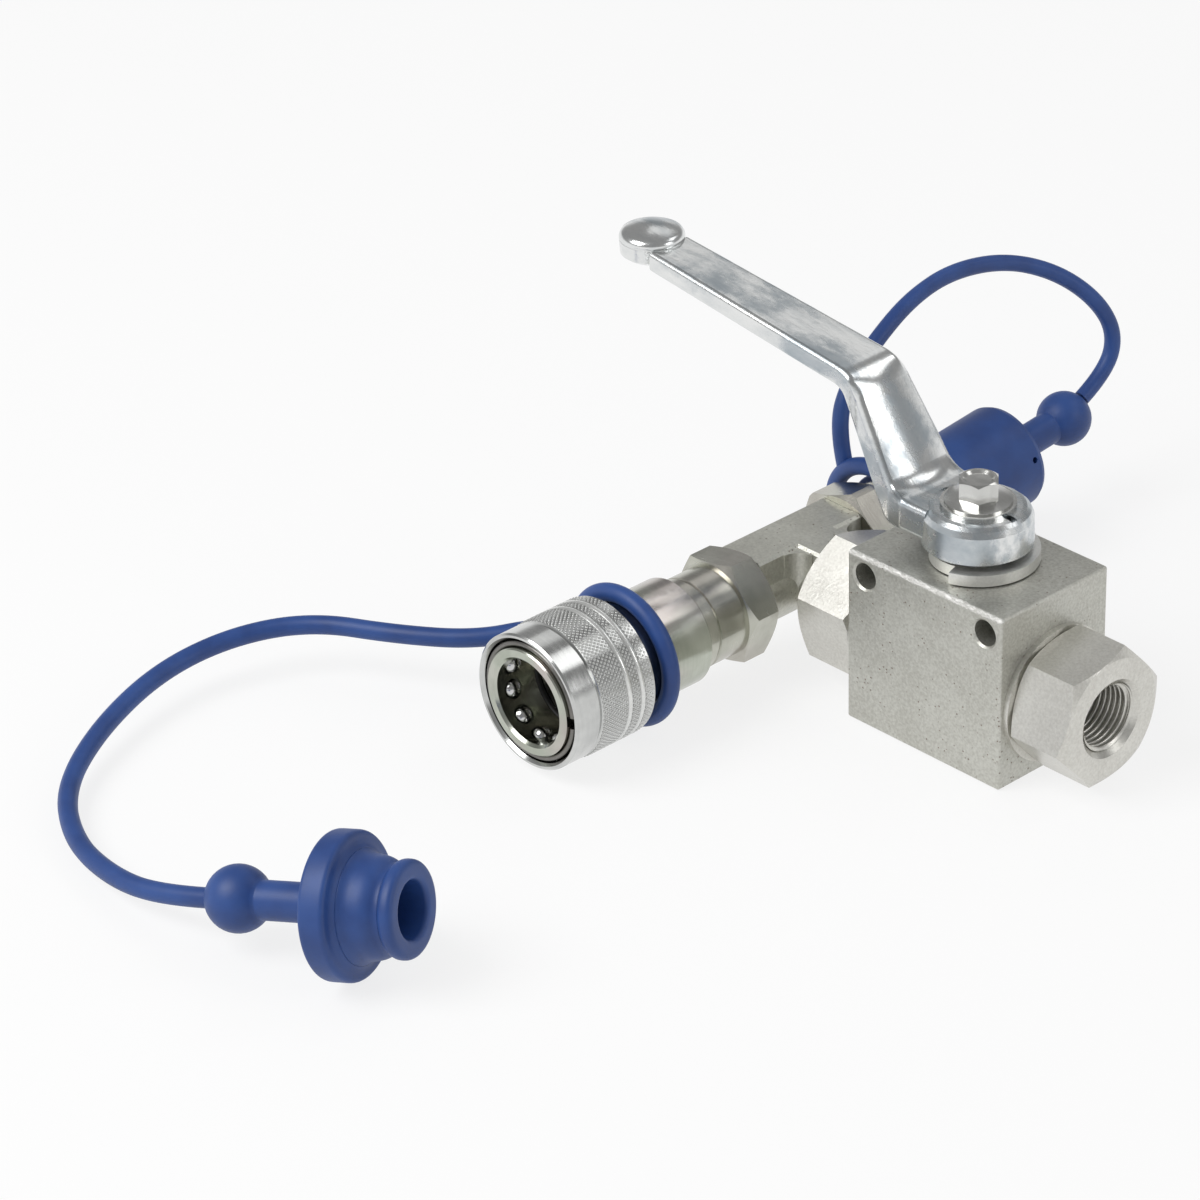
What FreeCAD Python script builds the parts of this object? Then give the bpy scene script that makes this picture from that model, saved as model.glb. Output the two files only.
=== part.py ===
import FreeCAD, Part
import math
import operator
import os
import types

import Sketcher
from FreeCAD import Placement, Rotation, Vector

# Vent valve: a block ball valve with a cranked lever. A tee on its inlet
# carries a quick coupler on one arm and a capped coupler nipple on the other.
#
# Frame: the origin is on the block's underside, below the stem. +X runs along
# the flow to the open port, +Y to the capped nipple, +Z up the stem.
# All sizes are in millimetres and degrees.

SIZES = {
    # Valve block
    "block_length": 43.0,
    "block_width": 32.0,
    "block_height": 40.0,
    "block_edge": 0.6,
    "flow_height": 17.1,
    "mount_hole_inset": 4.75,
    "mount_hole_drop": 4.8,
    "mount_hole_radius": 2.9,
    "mount_hole_sink": 0.45,
    # Gaps
    "running_gap": 0.3,
    "shaft_gap": 0.1,
    "fit_gap": 0.05,
    # Ball, seats and flow way
    "ball_radius": 9.5,
    "port_radius": 4.9,
    "slot_width": 4.2,
    "slot_depth": 3.3,
    "seat_radius": 10.1,
    "seat_start": 6.7,
    "cavity_half": 10.4,
    # End connectors
    "connector_across": 27.0,
    "outlet_reach": 16.0,
    "inlet_reach": 17.0,
    "outlet_phase": 102.0,
    "inlet_phase": 47.0,
    "collar_radius": 15.0,
    "collar_length": 1.2,
    "spigot_radius": 13.0,
    "nose_radius": 11.3,
    "nose_length": 2.1,
    "thread_radius": 7.48,
    "thread_depth": 12.0,
    "thread_mouth": 8.7,
    # Stem and its seals
    "stem_radius": 6.0,
    "stem_square": 9.0,
    "shoulder_radius": 7.5,
    "shoulder_rise": 10.2,
    "shoulder_thickness": 2.5,
    "thrust_room": 1.4,
    "tang_length": 9.0,
    "stem_drop": 0.9,
    "seal_drop": 4.6,
    "seal_wire": 1.0,
    "clip_radius": 8.2,
    # Stop disc and pin
    "disc_radius": 13.0,
    "disc_small_radius": 10.0,
    "disc_thickness": 2.5,
    "disc_start": -74.0,
    "quarter_turn": 90.0,
    "pin_radius": 2.0,
    "pin_circle": 12.3,
    "pin_length": 7.5,
    "pin_play": 0.9,
    # Lever
    "clip_room": 1.2,
    "hub_height": 8.5,
    "hub_radius": 11.7,
    "root_reach": 16.0,
    "crank_reach": 29.0,
    "crank_rise": 21.5,
    "arm_reach": 90.0,
    "arm_rise": 7.2,
    "arm_thickness": 4.7,
    "root_width": 19.5,
    "crank_width": 14.5,
    "arm_width": 12.0,
    "arm_edge": 1.3,
    "heel_bend": 4.0,
    "crank_bend": 9.0,
    "root_bend": 6.0,
    "flank_bend": 60.0,
    "knob_offset": 5.4,
    "knob_radius": 7.1,
    "knob_drop": 4.0,
    "knob_thickness": 5.4,
    "mark_width": 1.6,
    "mark_depth": 1.0,
    # Lever bolt and washer
    "washer_radius": 7.9,
    "washer_thickness": 0.95,
    "bolt_flange_radius": 7.1,
    "bolt_flange": 1.25,
    "bolt_across": 8.0,
    "bolt_head": 4.0,
    "bolt_radius": 3.0,
    "bolt_length": 10.5,
    "bolt_phase": -47.0,
    # Tee
    "tee_reach": 13.3,
    "tee_coupler_arm": 17.3,
    "tee_nipple_arm": 13.2,
    "tee_top": 10.2,
    "tee_flat_half": 5.8,
    "tee_belly": 6.6,
    "tee_belly_drop": 1.4,
    "tee_corner": 4.0,
    "tail_length": 9.5,
    # Coupler, measured from the tee's centre along its arm
    "adapter_across": 22.0,
    "adapter_phase": 9.2,
    "adapter_hex": 8.0,
    "adapter_radius": 10.2,
    "coupler_back": 37.0,
    "coupler_front": 79.1,
    "coupler_radius": 11.95,
    "socket_radius": 9.46,
    "socket_bottom": 60.5,
    "land_radius": 12.45,
    "ball_station": 74.4,
    "lock_ball_radius": 2.0,
    "lock_ball_circle": 10.1,
    "lock_ball_phase": 14.0,
    "ball_travel": 1.3,
    "sleeve_travel": 2.8,
    "sleeve_back": 56.4,
    "sleeve_front": 78.7,
    "sleeve_radius": 15.1,
    "sleeve_bore": 13.8,
    "sleeve_bead": 3.9,
    "bead_spacing": 3.6,
    "sleeve_wire": 0.6,
    "poppet_wire": 0.6,
    "nipple_wire": 0.55,
    "snap_ring_wire": 0.65,
    "snap_ring_gap": 2.5,
    "bore_seal_station": 67.3,
    "bore_seal_wire": 0.75,
    "poppet_travel": 5.0,
    # Nipple, measured from the tee's centre along its arm
    "nipple_across": 24.0,
    "nipple_phase": 78.5,
    "nipple_hex": 8.2,
    "nipple_turned": 13.4,
    "nipple_neck": 10.2,
    "nipple_shoulder": 27.6,
    "nipple_end": 43.5,
    "nipple_nose": 9.52,
    "nipple_bore": 7.0,
    # Blue rings, dust plug and dust cap
    "ring_wire": 1.95,
    "ring_circle": 14.0,
    "plug_ring_station": 51.4,
    "cap_ring_station": 25.4,
    "cap_ring_lift": 0.9,
    "cap_ring_lean": 5.7,
    "cap_pitch": 5.7,
    "cap_pivot": 36.0,
    "cap_radius": 12.0,
    "cap_bore": 10.5,
    "cap_mouth": 7.0,
    "cap_length": 37.0,
    "cap_floor": 2.0,
    "cap_vent_radius": 0.7,
    "cap_vent_station": 27.0,
    "cap_vent_angle": 20.0,
    "cap_stub_radius": 3.7,
    "cap_bead_radius": 6.2,
    "cap_bead_reach": 18.6,
    "plug_azimuth": 22.4,
    "plug_pitch": 10.1,
    "plug_across": 29.7,
    "plug_flange": 5.9,
    "plug_body_radius": 10.1,
    "plug_groove_radius": 8.9,
    "plug_lip_radius": 9.85,
    "plug_nose": 11.7,
    "plug_hole_radius": 6.2,
    "plug_stub_radius": 4.0,
    "plug_bead_radius": 6.85,
    "plug_bead_reach": 24.3,
    "plug_cord_radius": 2.1,
    "cap_cord_radius": 1.85,
}

LOCK_BALLS = 10
PLUG_SPOT = (-22.6, -152.7, 15.1)

# Routes of the two moulded straps, from ring to bead.
PLUG_ROUTE = [
    (-66.6, -51.4, 17.2), (-75.6, -53.4, 15.0), (-84.0, -64.0, 12.8), (-98.6, -73.6, 12.2),
    (-116.4, -81.8, 11.6), (-125.7, -96.5, 10.3), (-128.0, -115.0, 8.2), (-121.3, -136.6, 6.0),
    (-110.4, -154.3, 3.8), (-94.7, -164.1, 2.7), (-77.2, -168.1, 4.0), (-62.2, -167.8, 6.4),
    (-50.2, -164.0, 9.4),
]
CAP_ROUTE = [
    (-62.2, 25.2, 28.0), (-64.8, 25.0, 37.5), (-65.6, 29.0, 47.0), (-67.0, 38.2, 54.5),
    (-68.5, 50.4, 59.3), (-68.5, 64.3, 61.0), (-65.8, 79.2, 59.5), (-60.5, 90.2, 54.2),
    (-55.0, 97.7, 46.3), (-52.0, 101.2, 37.3), (-51.7, 98.3, 29.0), (-51.75, 90.0, 24.9),
]

ALONG_X = Rotation(Vector(0, 1, 0), 90)
AGAINST_X = Rotation(Vector(0, 1, 0), -90)
ALONG_Y = Rotation(Vector(1, 0, 0), -90)
AGAINST_Y = Rotation(Vector(1, 0, 0), 90)
UPRIGHT = Rotation()
BACKWARD = Rotation(Vector(0, 0, 1), 180)

SIGNS = {"+": operator.add, "-": operator.sub, "*": operator.mul, "/": operator.truediv}


class Size:
    """A number that remembers the sheet expression it comes from."""

    def __init__(self, text, value):
        self.text = text
        self.value = value

    def __add__(self, other):
        return joined(self, "+", other)

    def __radd__(self, other):
        return joined(other, "+", self)

    def __sub__(self, other):
        return joined(self, "-", other)

    def __rsub__(self, other):
        return joined(other, "-", self)

    def __mul__(self, other):
        return joined(self, "*", other)

    def __rmul__(self, other):
        return joined(other, "*", self)

    def __truediv__(self, other):
        return joined(self, "/", other)

    def __neg__(self):
        return joined(0, "-", self)


def as_size(number):
    return number if isinstance(number, Size) else Size(repr(float(number)), float(number))


def joined(left, sign, right):
    left, right = as_size(left), as_size(right)
    return Size(f"({left.text} {sign} {right.text})", SIGNS[sign](left.value, right.value))


def cosine(angle):
    angle = as_size(angle)
    return Size(f"cos({angle.text})", math.cos(math.radians(angle.value)))


def sine(angle):
    angle = as_size(angle)
    return Size(f"sin({angle.text})", math.sin(math.radians(angle.value)))


def outward(angle):
    """The turn that lays a Z axis flat, pointing away at an angle."""
    return Rotation(Vector(0, 0, 1),
                    Vector(math.cos(math.radians(angle)), math.sin(math.radians(angle)), 0))


doc = FreeCAD.newDocument("VentValve")
sheet = doc.addObject("Spreadsheet::Sheet", "Sizes")
for row, (word, number) in enumerate(SIZES.items(), start=1):
    sheet.set(f"A{row}", word)
    sheet.set(f"B{row}", str(number))
    sheet.setAlias(f"B{row}", word)
doc.recompute()
S = types.SimpleNamespace(**{word: Size(f"Sizes.{word}", number) for word, number in SIZES.items()})

FLOW = S.flow_height
S.mount_hole_spacing = S.block_length - 2 * S.mount_hole_inset
S.shoulder_low = FLOW + S.shoulder_rise
S.shoulder_high = S.shoulder_low + S.shoulder_thickness
S.pocket_height = S.shoulder_high + S.thrust_room
S.seal_height = S.block_height - S.seal_drop
S.hub_low = S.block_height + S.running_gap + S.disc_thickness + S.clip_room
S.hub_top = S.hub_low + S.hub_height
S.stem_top = S.hub_top - S.stem_drop
S.crank_height = S.hub_top + S.crank_rise
S.arm_height = S.crank_height + S.arm_rise
S.knob_low = S.arm_height - S.knob_drop
S.knob_reach = S.arm_reach + S.knob_offset
TEE_X = -(S.block_length / 2 + S.inlet_reach + S.tee_reach)
NODES = {}


def bind(thing, path, size):
    """Tie one property to the sheet."""
    thing.setExpression(path, as_size(size).text)


def settle(thing, spot=(0, 0, 0), turn=UPRIGHT):
    """Turn and place an object, its place bound to the sheet."""
    spot = [as_size(part) for part in spot]
    thing.Placement = Placement(Vector(*[part.value for part in spot]), turn)
    for letter, part in zip("xyz", spot):
        bind(thing, f"Placement.Base.{letter}", part)
    return thing


def outline_sketch(body, name, plane, corners):
    """A closed outline whose every corner is dimensioned from the origin."""
    sketch = body.newObject("Sketcher::SketchObject", name)
    support = next(item for item in body.Origin.OriginFeatures if item.Role == plane)
    sketch.AttachmentSupport = [(support, "")]
    sketch.MapMode = "FlatFace"
    corners = [(as_size(across), as_size(up)) for across, up in corners]
    count = len(corners)
    for index in range(count):
        start, end = corners[index], corners[(index + 1) % count]
        sketch.addGeometry(Part.LineSegment(Vector(start[0].value, start[1].value, 0),
                                            Vector(end[0].value, end[1].value, 0)), False)
    for index in range(count):
        sketch.addConstraint(Sketcher.Constraint("Coincident", index, 2, (index + 1) % count, 1))
    for index, corner in enumerate(corners):
        for kind, size in zip(("DistanceX", "DistanceY"), corner):
            rule = sketch.addConstraint(Sketcher.Constraint(kind, -1, 1, index, 1, size.value))
            bind(sketch, f"Constraints[{rule}]", size)
    return sketch


def turned(name, corners):
    """A body turned about its own Z axis from (radius, height) corners."""
    body = doc.addObject("PartDesign::Body", name)
    turn = body.newObject("PartDesign::Revolution", name + "Turn")
    turn.Profile = outline_sketch(body, name + "Outline", "XZ_Plane", corners)
    turn.ReferenceAxis = (turn.Profile[0], ["V_Axis"])
    turn.Angle = 360
    body.Tip = turn
    return body


def padded(name, plane, corners, length, centred=False):
    """A body padded from an outline on one of its origin planes."""
    body = doc.addObject("PartDesign::Body", name)
    pad = body.newObject("PartDesign::Pad", name + "Pad")
    pad.Profile = outline_sketch(body, name + "Outline", plane, corners)
    pad.Midplane = centred
    bind(pad, "Length", length)
    body.Tip = pad
    return body


def brick(name, wide, deep, tall, low=0):
    """A box centred on its own Z axis."""
    box = doc.addObject("Part::Box", name)
    for prop, size in (("Length", wide), ("Width", deep), ("Height", tall)):
        bind(box, prop, size)
    return settle(box, (-as_size(wide) / 2, -as_size(deep) / 2, low))


def rod(name, radius, length, low=0):
    """A cylinder on its own Z axis."""
    cylinder = doc.addObject("Part::Cylinder", name)
    bind(cylinder, "Radius", radius)
    bind(cylinder, "Height", length)
    return settle(cylinder, (0, 0, low))


def globe(name, radius):
    sphere = doc.addObject("Part::Sphere", name)
    bind(sphere, "Radius", radius)
    return sphere


def hoop(name, circle, wire):
    torus = doc.addObject("Part::Torus", name)
    bind(torus, "Radius1", circle)
    bind(torus, "Radius2", wire)
    return torus


def fused(name, shapes):
    if len(shapes) == 1:
        return shapes[0]
    fusion = doc.addObject("Part::MultiFuse", name)
    fusion.Shapes = shapes
    fusion.Refine = True
    return fusion


def common(name, shapes):
    both = doc.addObject("Part::MultiCommon", name)
    both.Shapes = shapes
    return both


def carved(name, solids, holes):
    """Solids joined, then holes cut out of them."""
    cut = doc.addObject("Part::Cut", name + "Cut")
    cut.Base = fused(name + "Solids", solids)
    cut.Tool = fused(name + "Holes", holes)
    return cut


def node(name, thing, spot=(0, 0, 0), turn=UPRIGHT):
    """Register a finished piece under the name of its file."""
    settle(thing, spot, turn)
    thing.Label = name
    NODES[name] = thing
    return thing


def hexagon(name, across, low, high, phase, bevel_low=True, turned_to=None):
    """A hexagon bar between two heights, its corners bevelled as a nut's are."""
    across = as_size(across)
    corner = across / math.sqrt(3)
    prism = doc.addObject("Part::Prism", name + "Bar")
    prism.Polygon = 6
    bind(prism, "Circumradius", corner)
    bind(prism, "Height", as_size(high) - low)
    prism.Placement = Placement(Vector(0, 0, 0), Rotation(Vector(0, 0, 1), phase))
    bind(prism, "Placement.Base.z", low)
    limit = corner + 0.1 if turned_to is None else as_size(turned_to)
    face = across / 2 - 0.2
    rise = (limit - face) / math.sqrt(3)
    outline = [(0, low), (face, low), (limit, low + rise)] if bevel_low else [(0, low), (limit, low)]
    outline += [(limit, high - rise), (face, high), (0, high)]
    return common(name, [prism, turned(name + "Envelope", outline)])


def spring(name, circle, wire, length, turns, phase=0):
    """A wire coil that stands on its own Z axis."""
    helix = doc.addObject("Part::Helix", name + "Path")
    bind(helix, "Radius", circle)
    bind(helix, "Height", as_size(length) - 2 * as_size(wire))
    bind(helix, "Pitch", (as_size(length) - 2 * as_size(wire)) / turns)
    section = doc.addObject("Part::RegularPolygon", name + "Wire")
    section.Polygon = 6
    bind(section, "Circumradius", wire)
    settle(section, (circle, 0, 0), Rotation(Vector(1, 0, 0), 90))
    sweep = doc.addObject("Part::Sweep", name + "Coil")
    sweep.Sections = [section]
    sweep.Spine = helix
    sweep.Solid = True
    sweep.Frenet = True
    return sweep


def rounded_path(points):
    """Straight runs joined by tangent arcs as large as the runs allow."""
    points = [Vector(*point) for point in points]
    edges, radii, start = [], [], points[0]
    for before, corner, after in zip(points, points[1:], points[2:]):
        inward, outward = (before - corner), (after - corner)
        half_turn = (math.pi - inward.getAngle(outward)) / 2
        reach = 0.45 * min(inward.Length, outward.Length)
        radii.append(reach / math.tan(half_turn))
        enter = corner + inward.normalize() * reach
        leave = corner + outward.normalize() * reach
        centre_way = (inward + outward).normalize()
        middle = corner + centre_way * (radii[-1] / math.cos(half_turn) - radii[-1])
        edges += [Part.LineSegment(start, enter).toShape(), Part.Arc(enter, middle, leave).toShape()]
        start = leave
    edges.append(Part.LineSegment(start, points[-1]).toShape())
    return Part.Wire(edges), radii


def strap(name, route, radius):
    """A plain round strap along its route."""
    wire, radii = rounded_path(route)
    way = Vector(*route[1]) - Vector(*route[0])
    section = Part.Wire(Part.makeCircle(radius.value, Vector(*route[0]), way))
    shape = wire.makePipeShell([section], True, False)
    full = math.pi * radius.value ** 2 * wire.Length
    print(f"{name}: length {wire.Length:.1f}, volume {shape.Volume / full:.4f} of section times length,"
          f" radii {min(radii):.1f} to {max(radii):.1f}")
    feature = doc.addObject("Part::Feature", name)
    feature.Shape = shape
    feature.Placement = Placement()
    feature.Label = name
    NODES[name] = feature


# Valve block
def valve_block():
    half, wide, tall = S.block_length / 2, S.block_width, S.block_height
    corners = [(-half, 0), (half, 0), (half, tall), (-half, tall)]
    body = padded("BlockBody", "XZ_Plane", corners, wide, centred=True)
    doc.recompute()
    sharp = body.Tip
    soft = body.newObject("PartDesign::Fillet", "BlockEdges")
    soft.Base = (sharp, [f"Edge{index + 1}" for index in range(len(sharp.Shape.Edges))])
    bind(soft, "Radius", S.block_edge)
    body.Tip = soft
    flow = turned("FlowCavity", [
        (0, -half - 1), (S.spigot_radius + S.fit_gap, -half - 1),
        (S.spigot_radius + S.fit_gap, -S.cavity_half),
        (S.seat_radius + S.fit_gap, -S.cavity_half), (S.seat_radius + S.fit_gap, S.cavity_half),
        (S.spigot_radius + S.fit_gap, S.cavity_half), (S.spigot_radius + S.fit_gap, half + 1),
        (0, half + 1)])
    settle(flow, (0, 0, FLOW), ALONG_X)
    stem_way = turned("StemWay", [
        (0, FLOW), (S.shoulder_radius + S.running_gap, FLOW),
        (S.shoulder_radius + S.running_gap, S.pocket_height),
        (S.stem_radius + S.shaft_gap, S.pocket_height), (S.stem_radius + S.shaft_gap, tall + 1),
        (0, tall + 1)])
    holes = [flow, stem_way]
    for side, name in ((-1, "MountHoleLeft"), (1, "MountHoleRight")):
        edge = wide / 2 - S.mount_hole_sink
        hole = turned(name, [
            (0, -wide / 2 - 1), (S.mount_hole_radius + S.mount_hole_sink + 1, -wide / 2 - 1),
            (S.mount_hole_radius, -edge), (S.mount_hole_radius, edge),
            (S.mount_hole_radius + S.mount_hole_sink + 1, wide / 2 + 1), (0, wide / 2 + 1)])
        holes.append(settle(hole, (side * S.mount_hole_spacing / 2, 0, tall - S.mount_hole_drop), ALONG_Y))
    angle = pin_angle()
    pin_hole = rod("StopPinHole", S.pin_radius + S.fit_gap, S.pin_length, tall - pin_sink())
    settle(pin_hole, (S.pin_circle * cosine(angle), S.pin_circle * sine(angle), tall - pin_sink()))
    holes.append(pin_hole)
    node("valve_block", carved("Block", [body], holes))


def pin_sink():
    """How deep the stop pin stands in the block."""
    return S.pin_length + S.block_height + S.running_gap * 2 - S.hub_low


def pin_angle():
    """The pin stands where the open disc's hidden end meets it."""
    return S.disc_start - S.quarter_turn - pin_half_angle()


def pin_half_angle():
    """Half the angle that the pin and its play take on the disc."""
    return (S.pin_radius + S.pin_play / 2) / S.pin_circle * 180 / math.pi


# End connectors: hexagon nuts that close the cavity and carry the pipe threads
def connector(name, turn, phase, reach):
    bottom = S.cavity_half + S.fit_gap
    face = S.block_length / 2
    end = face + reach
    shank = turned(name + "Shank", [
        (0, bottom), (S.nose_radius, bottom), (S.nose_radius, bottom + S.nose_length),
        (S.spigot_radius, bottom + S.nose_length), (S.spigot_radius, face), (S.collar_radius, face),
        (S.collar_radius, face + S.collar_length), (0, face + S.collar_length)])
    nut = hexagon(name + "Hex", S.connector_across, face + S.collar_length, end, phase)
    bore = turned(name + "Bore", [
        (0, bottom - 1), (S.port_radius, bottom - 1), (S.port_radius, end - S.thread_depth - 2),
        (S.thread_radius, end - S.thread_depth),
        (S.thread_radius, end - (S.thread_mouth - S.thread_radius)),
        (S.thread_mouth + 1, end + 1), (0, end + 1)])
    node(name, carved(name.title().replace("_", ""), [shank, nut], [bore]), (0, 0, FLOW), turn)
    circle = (S.nose_radius + S.spigot_radius) / 2
    wire = (S.spigot_radius - S.nose_radius) / 2 - S.fit_gap
    seal = name.replace("connector", "seal")
    side = 1 if turn is ALONG_X else -1
    node(seal, hoop(seal + "Ring", circle, wire), (side * (bottom + wire), 0, FLOW), turn)


def ball_and_seats():
    bore = rod("BallBore", S.port_radius, 2 * S.ball_radius + 2, -S.ball_radius - 1)
    settle(bore, (-S.ball_radius - 1, 0, 0), ALONG_X)
    slot = brick("BallSlot", S.slot_width, 3 * S.ball_radius, 2 * S.slot_depth,
                 S.ball_radius - S.slot_depth)
    ball = carved("Ball", [globe("BallGlobe", S.ball_radius)], [bore, slot])
    node("valve_ball", ball, (0, 0, FLOW))
    for name, turn in (("outlet_seat", ALONG_X), ("inlet_seat", AGAINST_X)):
        ring = turned(name + "Blank", [
            (S.port_radius + S.running_gap, S.seat_start), (S.seat_radius, S.seat_start),
            (S.seat_radius, S.cavity_half), (S.port_radius + S.running_gap, S.cavity_half)])
        dish = globe(name + "Dish", S.ball_radius + S.running_gap)
        node(name, carved(name.title().replace("_", ""), [ring], [dish]), (0, 0, FLOW), turn)


def stem_set():
    base = FLOW + S.ball_radius - S.slot_depth + S.running_gap
    square_low = S.block_height + S.running_gap
    groove = S.seal_wire + 0.1
    shaft = turned("StemShaft", [
        (0, S.shoulder_low), (S.shoulder_radius, S.shoulder_low), (S.shoulder_radius, S.shoulder_high),
        (S.stem_radius, S.shoulder_high), (S.stem_radius, S.seal_height - groove),
        (S.stem_radius - 2 * S.seal_wire + S.shaft_gap, S.seal_height - groove),
        (S.stem_radius - 2 * S.seal_wire + S.shaft_gap, S.seal_height + groove),
        (S.stem_radius, S.seal_height + groove), (S.stem_radius, square_low), (0, square_low)])
    tang = common("StemTang", [
        brick("TangBar", S.slot_width - 2 * S.running_gap, S.tang_length, S.shoulder_low - base + 1, base),
        rod("TangRound", S.shoulder_radius, S.shoulder_low - base + 1, base)])
    disc_top = square_low + S.disc_thickness
    neck = turned("StemSquareRound", [
        (0, square_low), (S.stem_radius, square_low), (S.stem_radius, disc_top + S.fit_gap),
        (S.stem_radius - 0.7, disc_top + S.fit_gap), (S.stem_radius - 0.7, S.hub_low - S.fit_gap),
        (S.stem_radius, S.hub_low - S.fit_gap), (S.stem_radius, S.stem_top), (0, S.stem_top)])
    square = common("StemSquare", [
        brick("StemSquareBar", S.stem_square, S.stem_square, S.stem_top - square_low, square_low), neck])
    tapping = rod("StemTapping", S.bolt_radius, S.bolt_length + 1, S.stem_top - S.bolt_length)
    node("stem", carved("Stem", [shaft, tang, square], [tapping]))
    washer_low = S.shoulder_high + S.fit_gap
    washer_high = S.pocket_height - S.running_gap
    washer = turned("ThrustWasher", [
        (S.stem_radius + S.fit_gap, washer_low), (S.shoulder_radius, washer_low),
        (S.shoulder_radius, washer_high), (S.stem_radius + S.fit_gap, washer_high)])
    node("stem_thrust_washer", washer)
    seal = hoop("StemSealRing", S.stem_radius - S.seal_wire + S.shaft_gap / 2,
                S.seal_wire - S.shaft_gap / 2)
    node("stem_seal", seal, (0, 0, S.seal_height))
    clip = turned("ClipRing", [
        (S.stem_radius - 0.65, disc_top + S.fit_gap), (S.clip_radius, disc_top + S.fit_gap),
        (S.clip_radius, S.hub_low - S.fit_gap), (S.stem_radius - 0.65, S.hub_low - S.fit_gap)])
    gap = brick("ClipGap", S.clip_radius * 2, 3, 10, disc_top - 2)
    settle(gap, (0, -1.5, disc_top - 2))
    node("stem_clip", carved("Clip", [clip], [gap]))


def stop_set():
    low = S.block_height + S.running_gap
    solid_angle = 360 - S.quarter_turn - 2 * pin_half_angle()
    wide = rod("DiscWide", S.disc_radius, S.disc_thickness)
    bind(wide, "Angle", solid_angle)
    wide.Placement = Placement(Vector(), Rotation(Vector(0, 0, 1), S.disc_start.value))
    bind(wide, "Placement.Rotation.Angle", S.disc_start)
    hub = rod("DiscHub", S.disc_small_radius, S.disc_thickness)
    hole_across = S.stem_square + 2 * S.fit_gap
    hole = brick("DiscHole", hole_across, hole_across, S.disc_thickness + 2, -1)
    node("stop_disc", carved("Disc", [wide, hub], [hole]), (0, 0, low))
    angle = pin_angle()
    spot = (S.pin_circle * cosine(angle), S.pin_circle * sine(angle), S.block_height - pin_sink())
    tip = S.pin_length - 0.4
    pin = turned("StopPin", [(0, 0), (S.pin_radius, 0), (S.pin_radius, tip),
                             (S.pin_radius - 0.4, S.pin_length), (0, S.pin_length)])
    node("stop_pin", pin, spot)


def bend(body, name, plane, radius, corners):
    """Round the edges that stand on given corners of a padded outline."""
    doc.recompute()
    base = body.Tip
    picked = []
    for index, edge in enumerate(base.Shape.Edges, start=1):
        ends = [vertex.Point for vertex in edge.Vertexes]
        flat = [(end.x, end.z if plane == "XZ_Plane" else end.y) for end in ends]
        for across, up in corners:
            spot = (as_size(across).value, as_size(up).value)
            if len(flat) == 2 and all(math.dist(end, spot) < 0.01 for end in flat):
                picked.append(f"Edge{index}")
    soft = body.newObject("PartDesign::Fillet", name)
    soft.Base = (base, picked)
    bind(soft, "Radius", radius)
    body.Tip = soft


def softened(name, thing, radius, wanted):
    """Round the edges of a solid that pass a test."""
    doc.recompute()
    soft = doc.addObject("Part::Fillet", name)
    soft.Base = thing
    soft.Edges = [(index, radius, radius)
                  for index, edge in enumerate(thing.Shape.Edges, start=1) if wanted(edge)]
    return soft


def side_edge(edge):
    """True for the edges that run along the lever's two flanks."""
    way = edge.tangentAt(edge.FirstParameter)
    middle = edge.CenterOfMass.x
    return abs(way.y) < 0.5 and S.hub_radius.value / 2 + 0.2 < middle < S.arm_reach.value - 0.2


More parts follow.
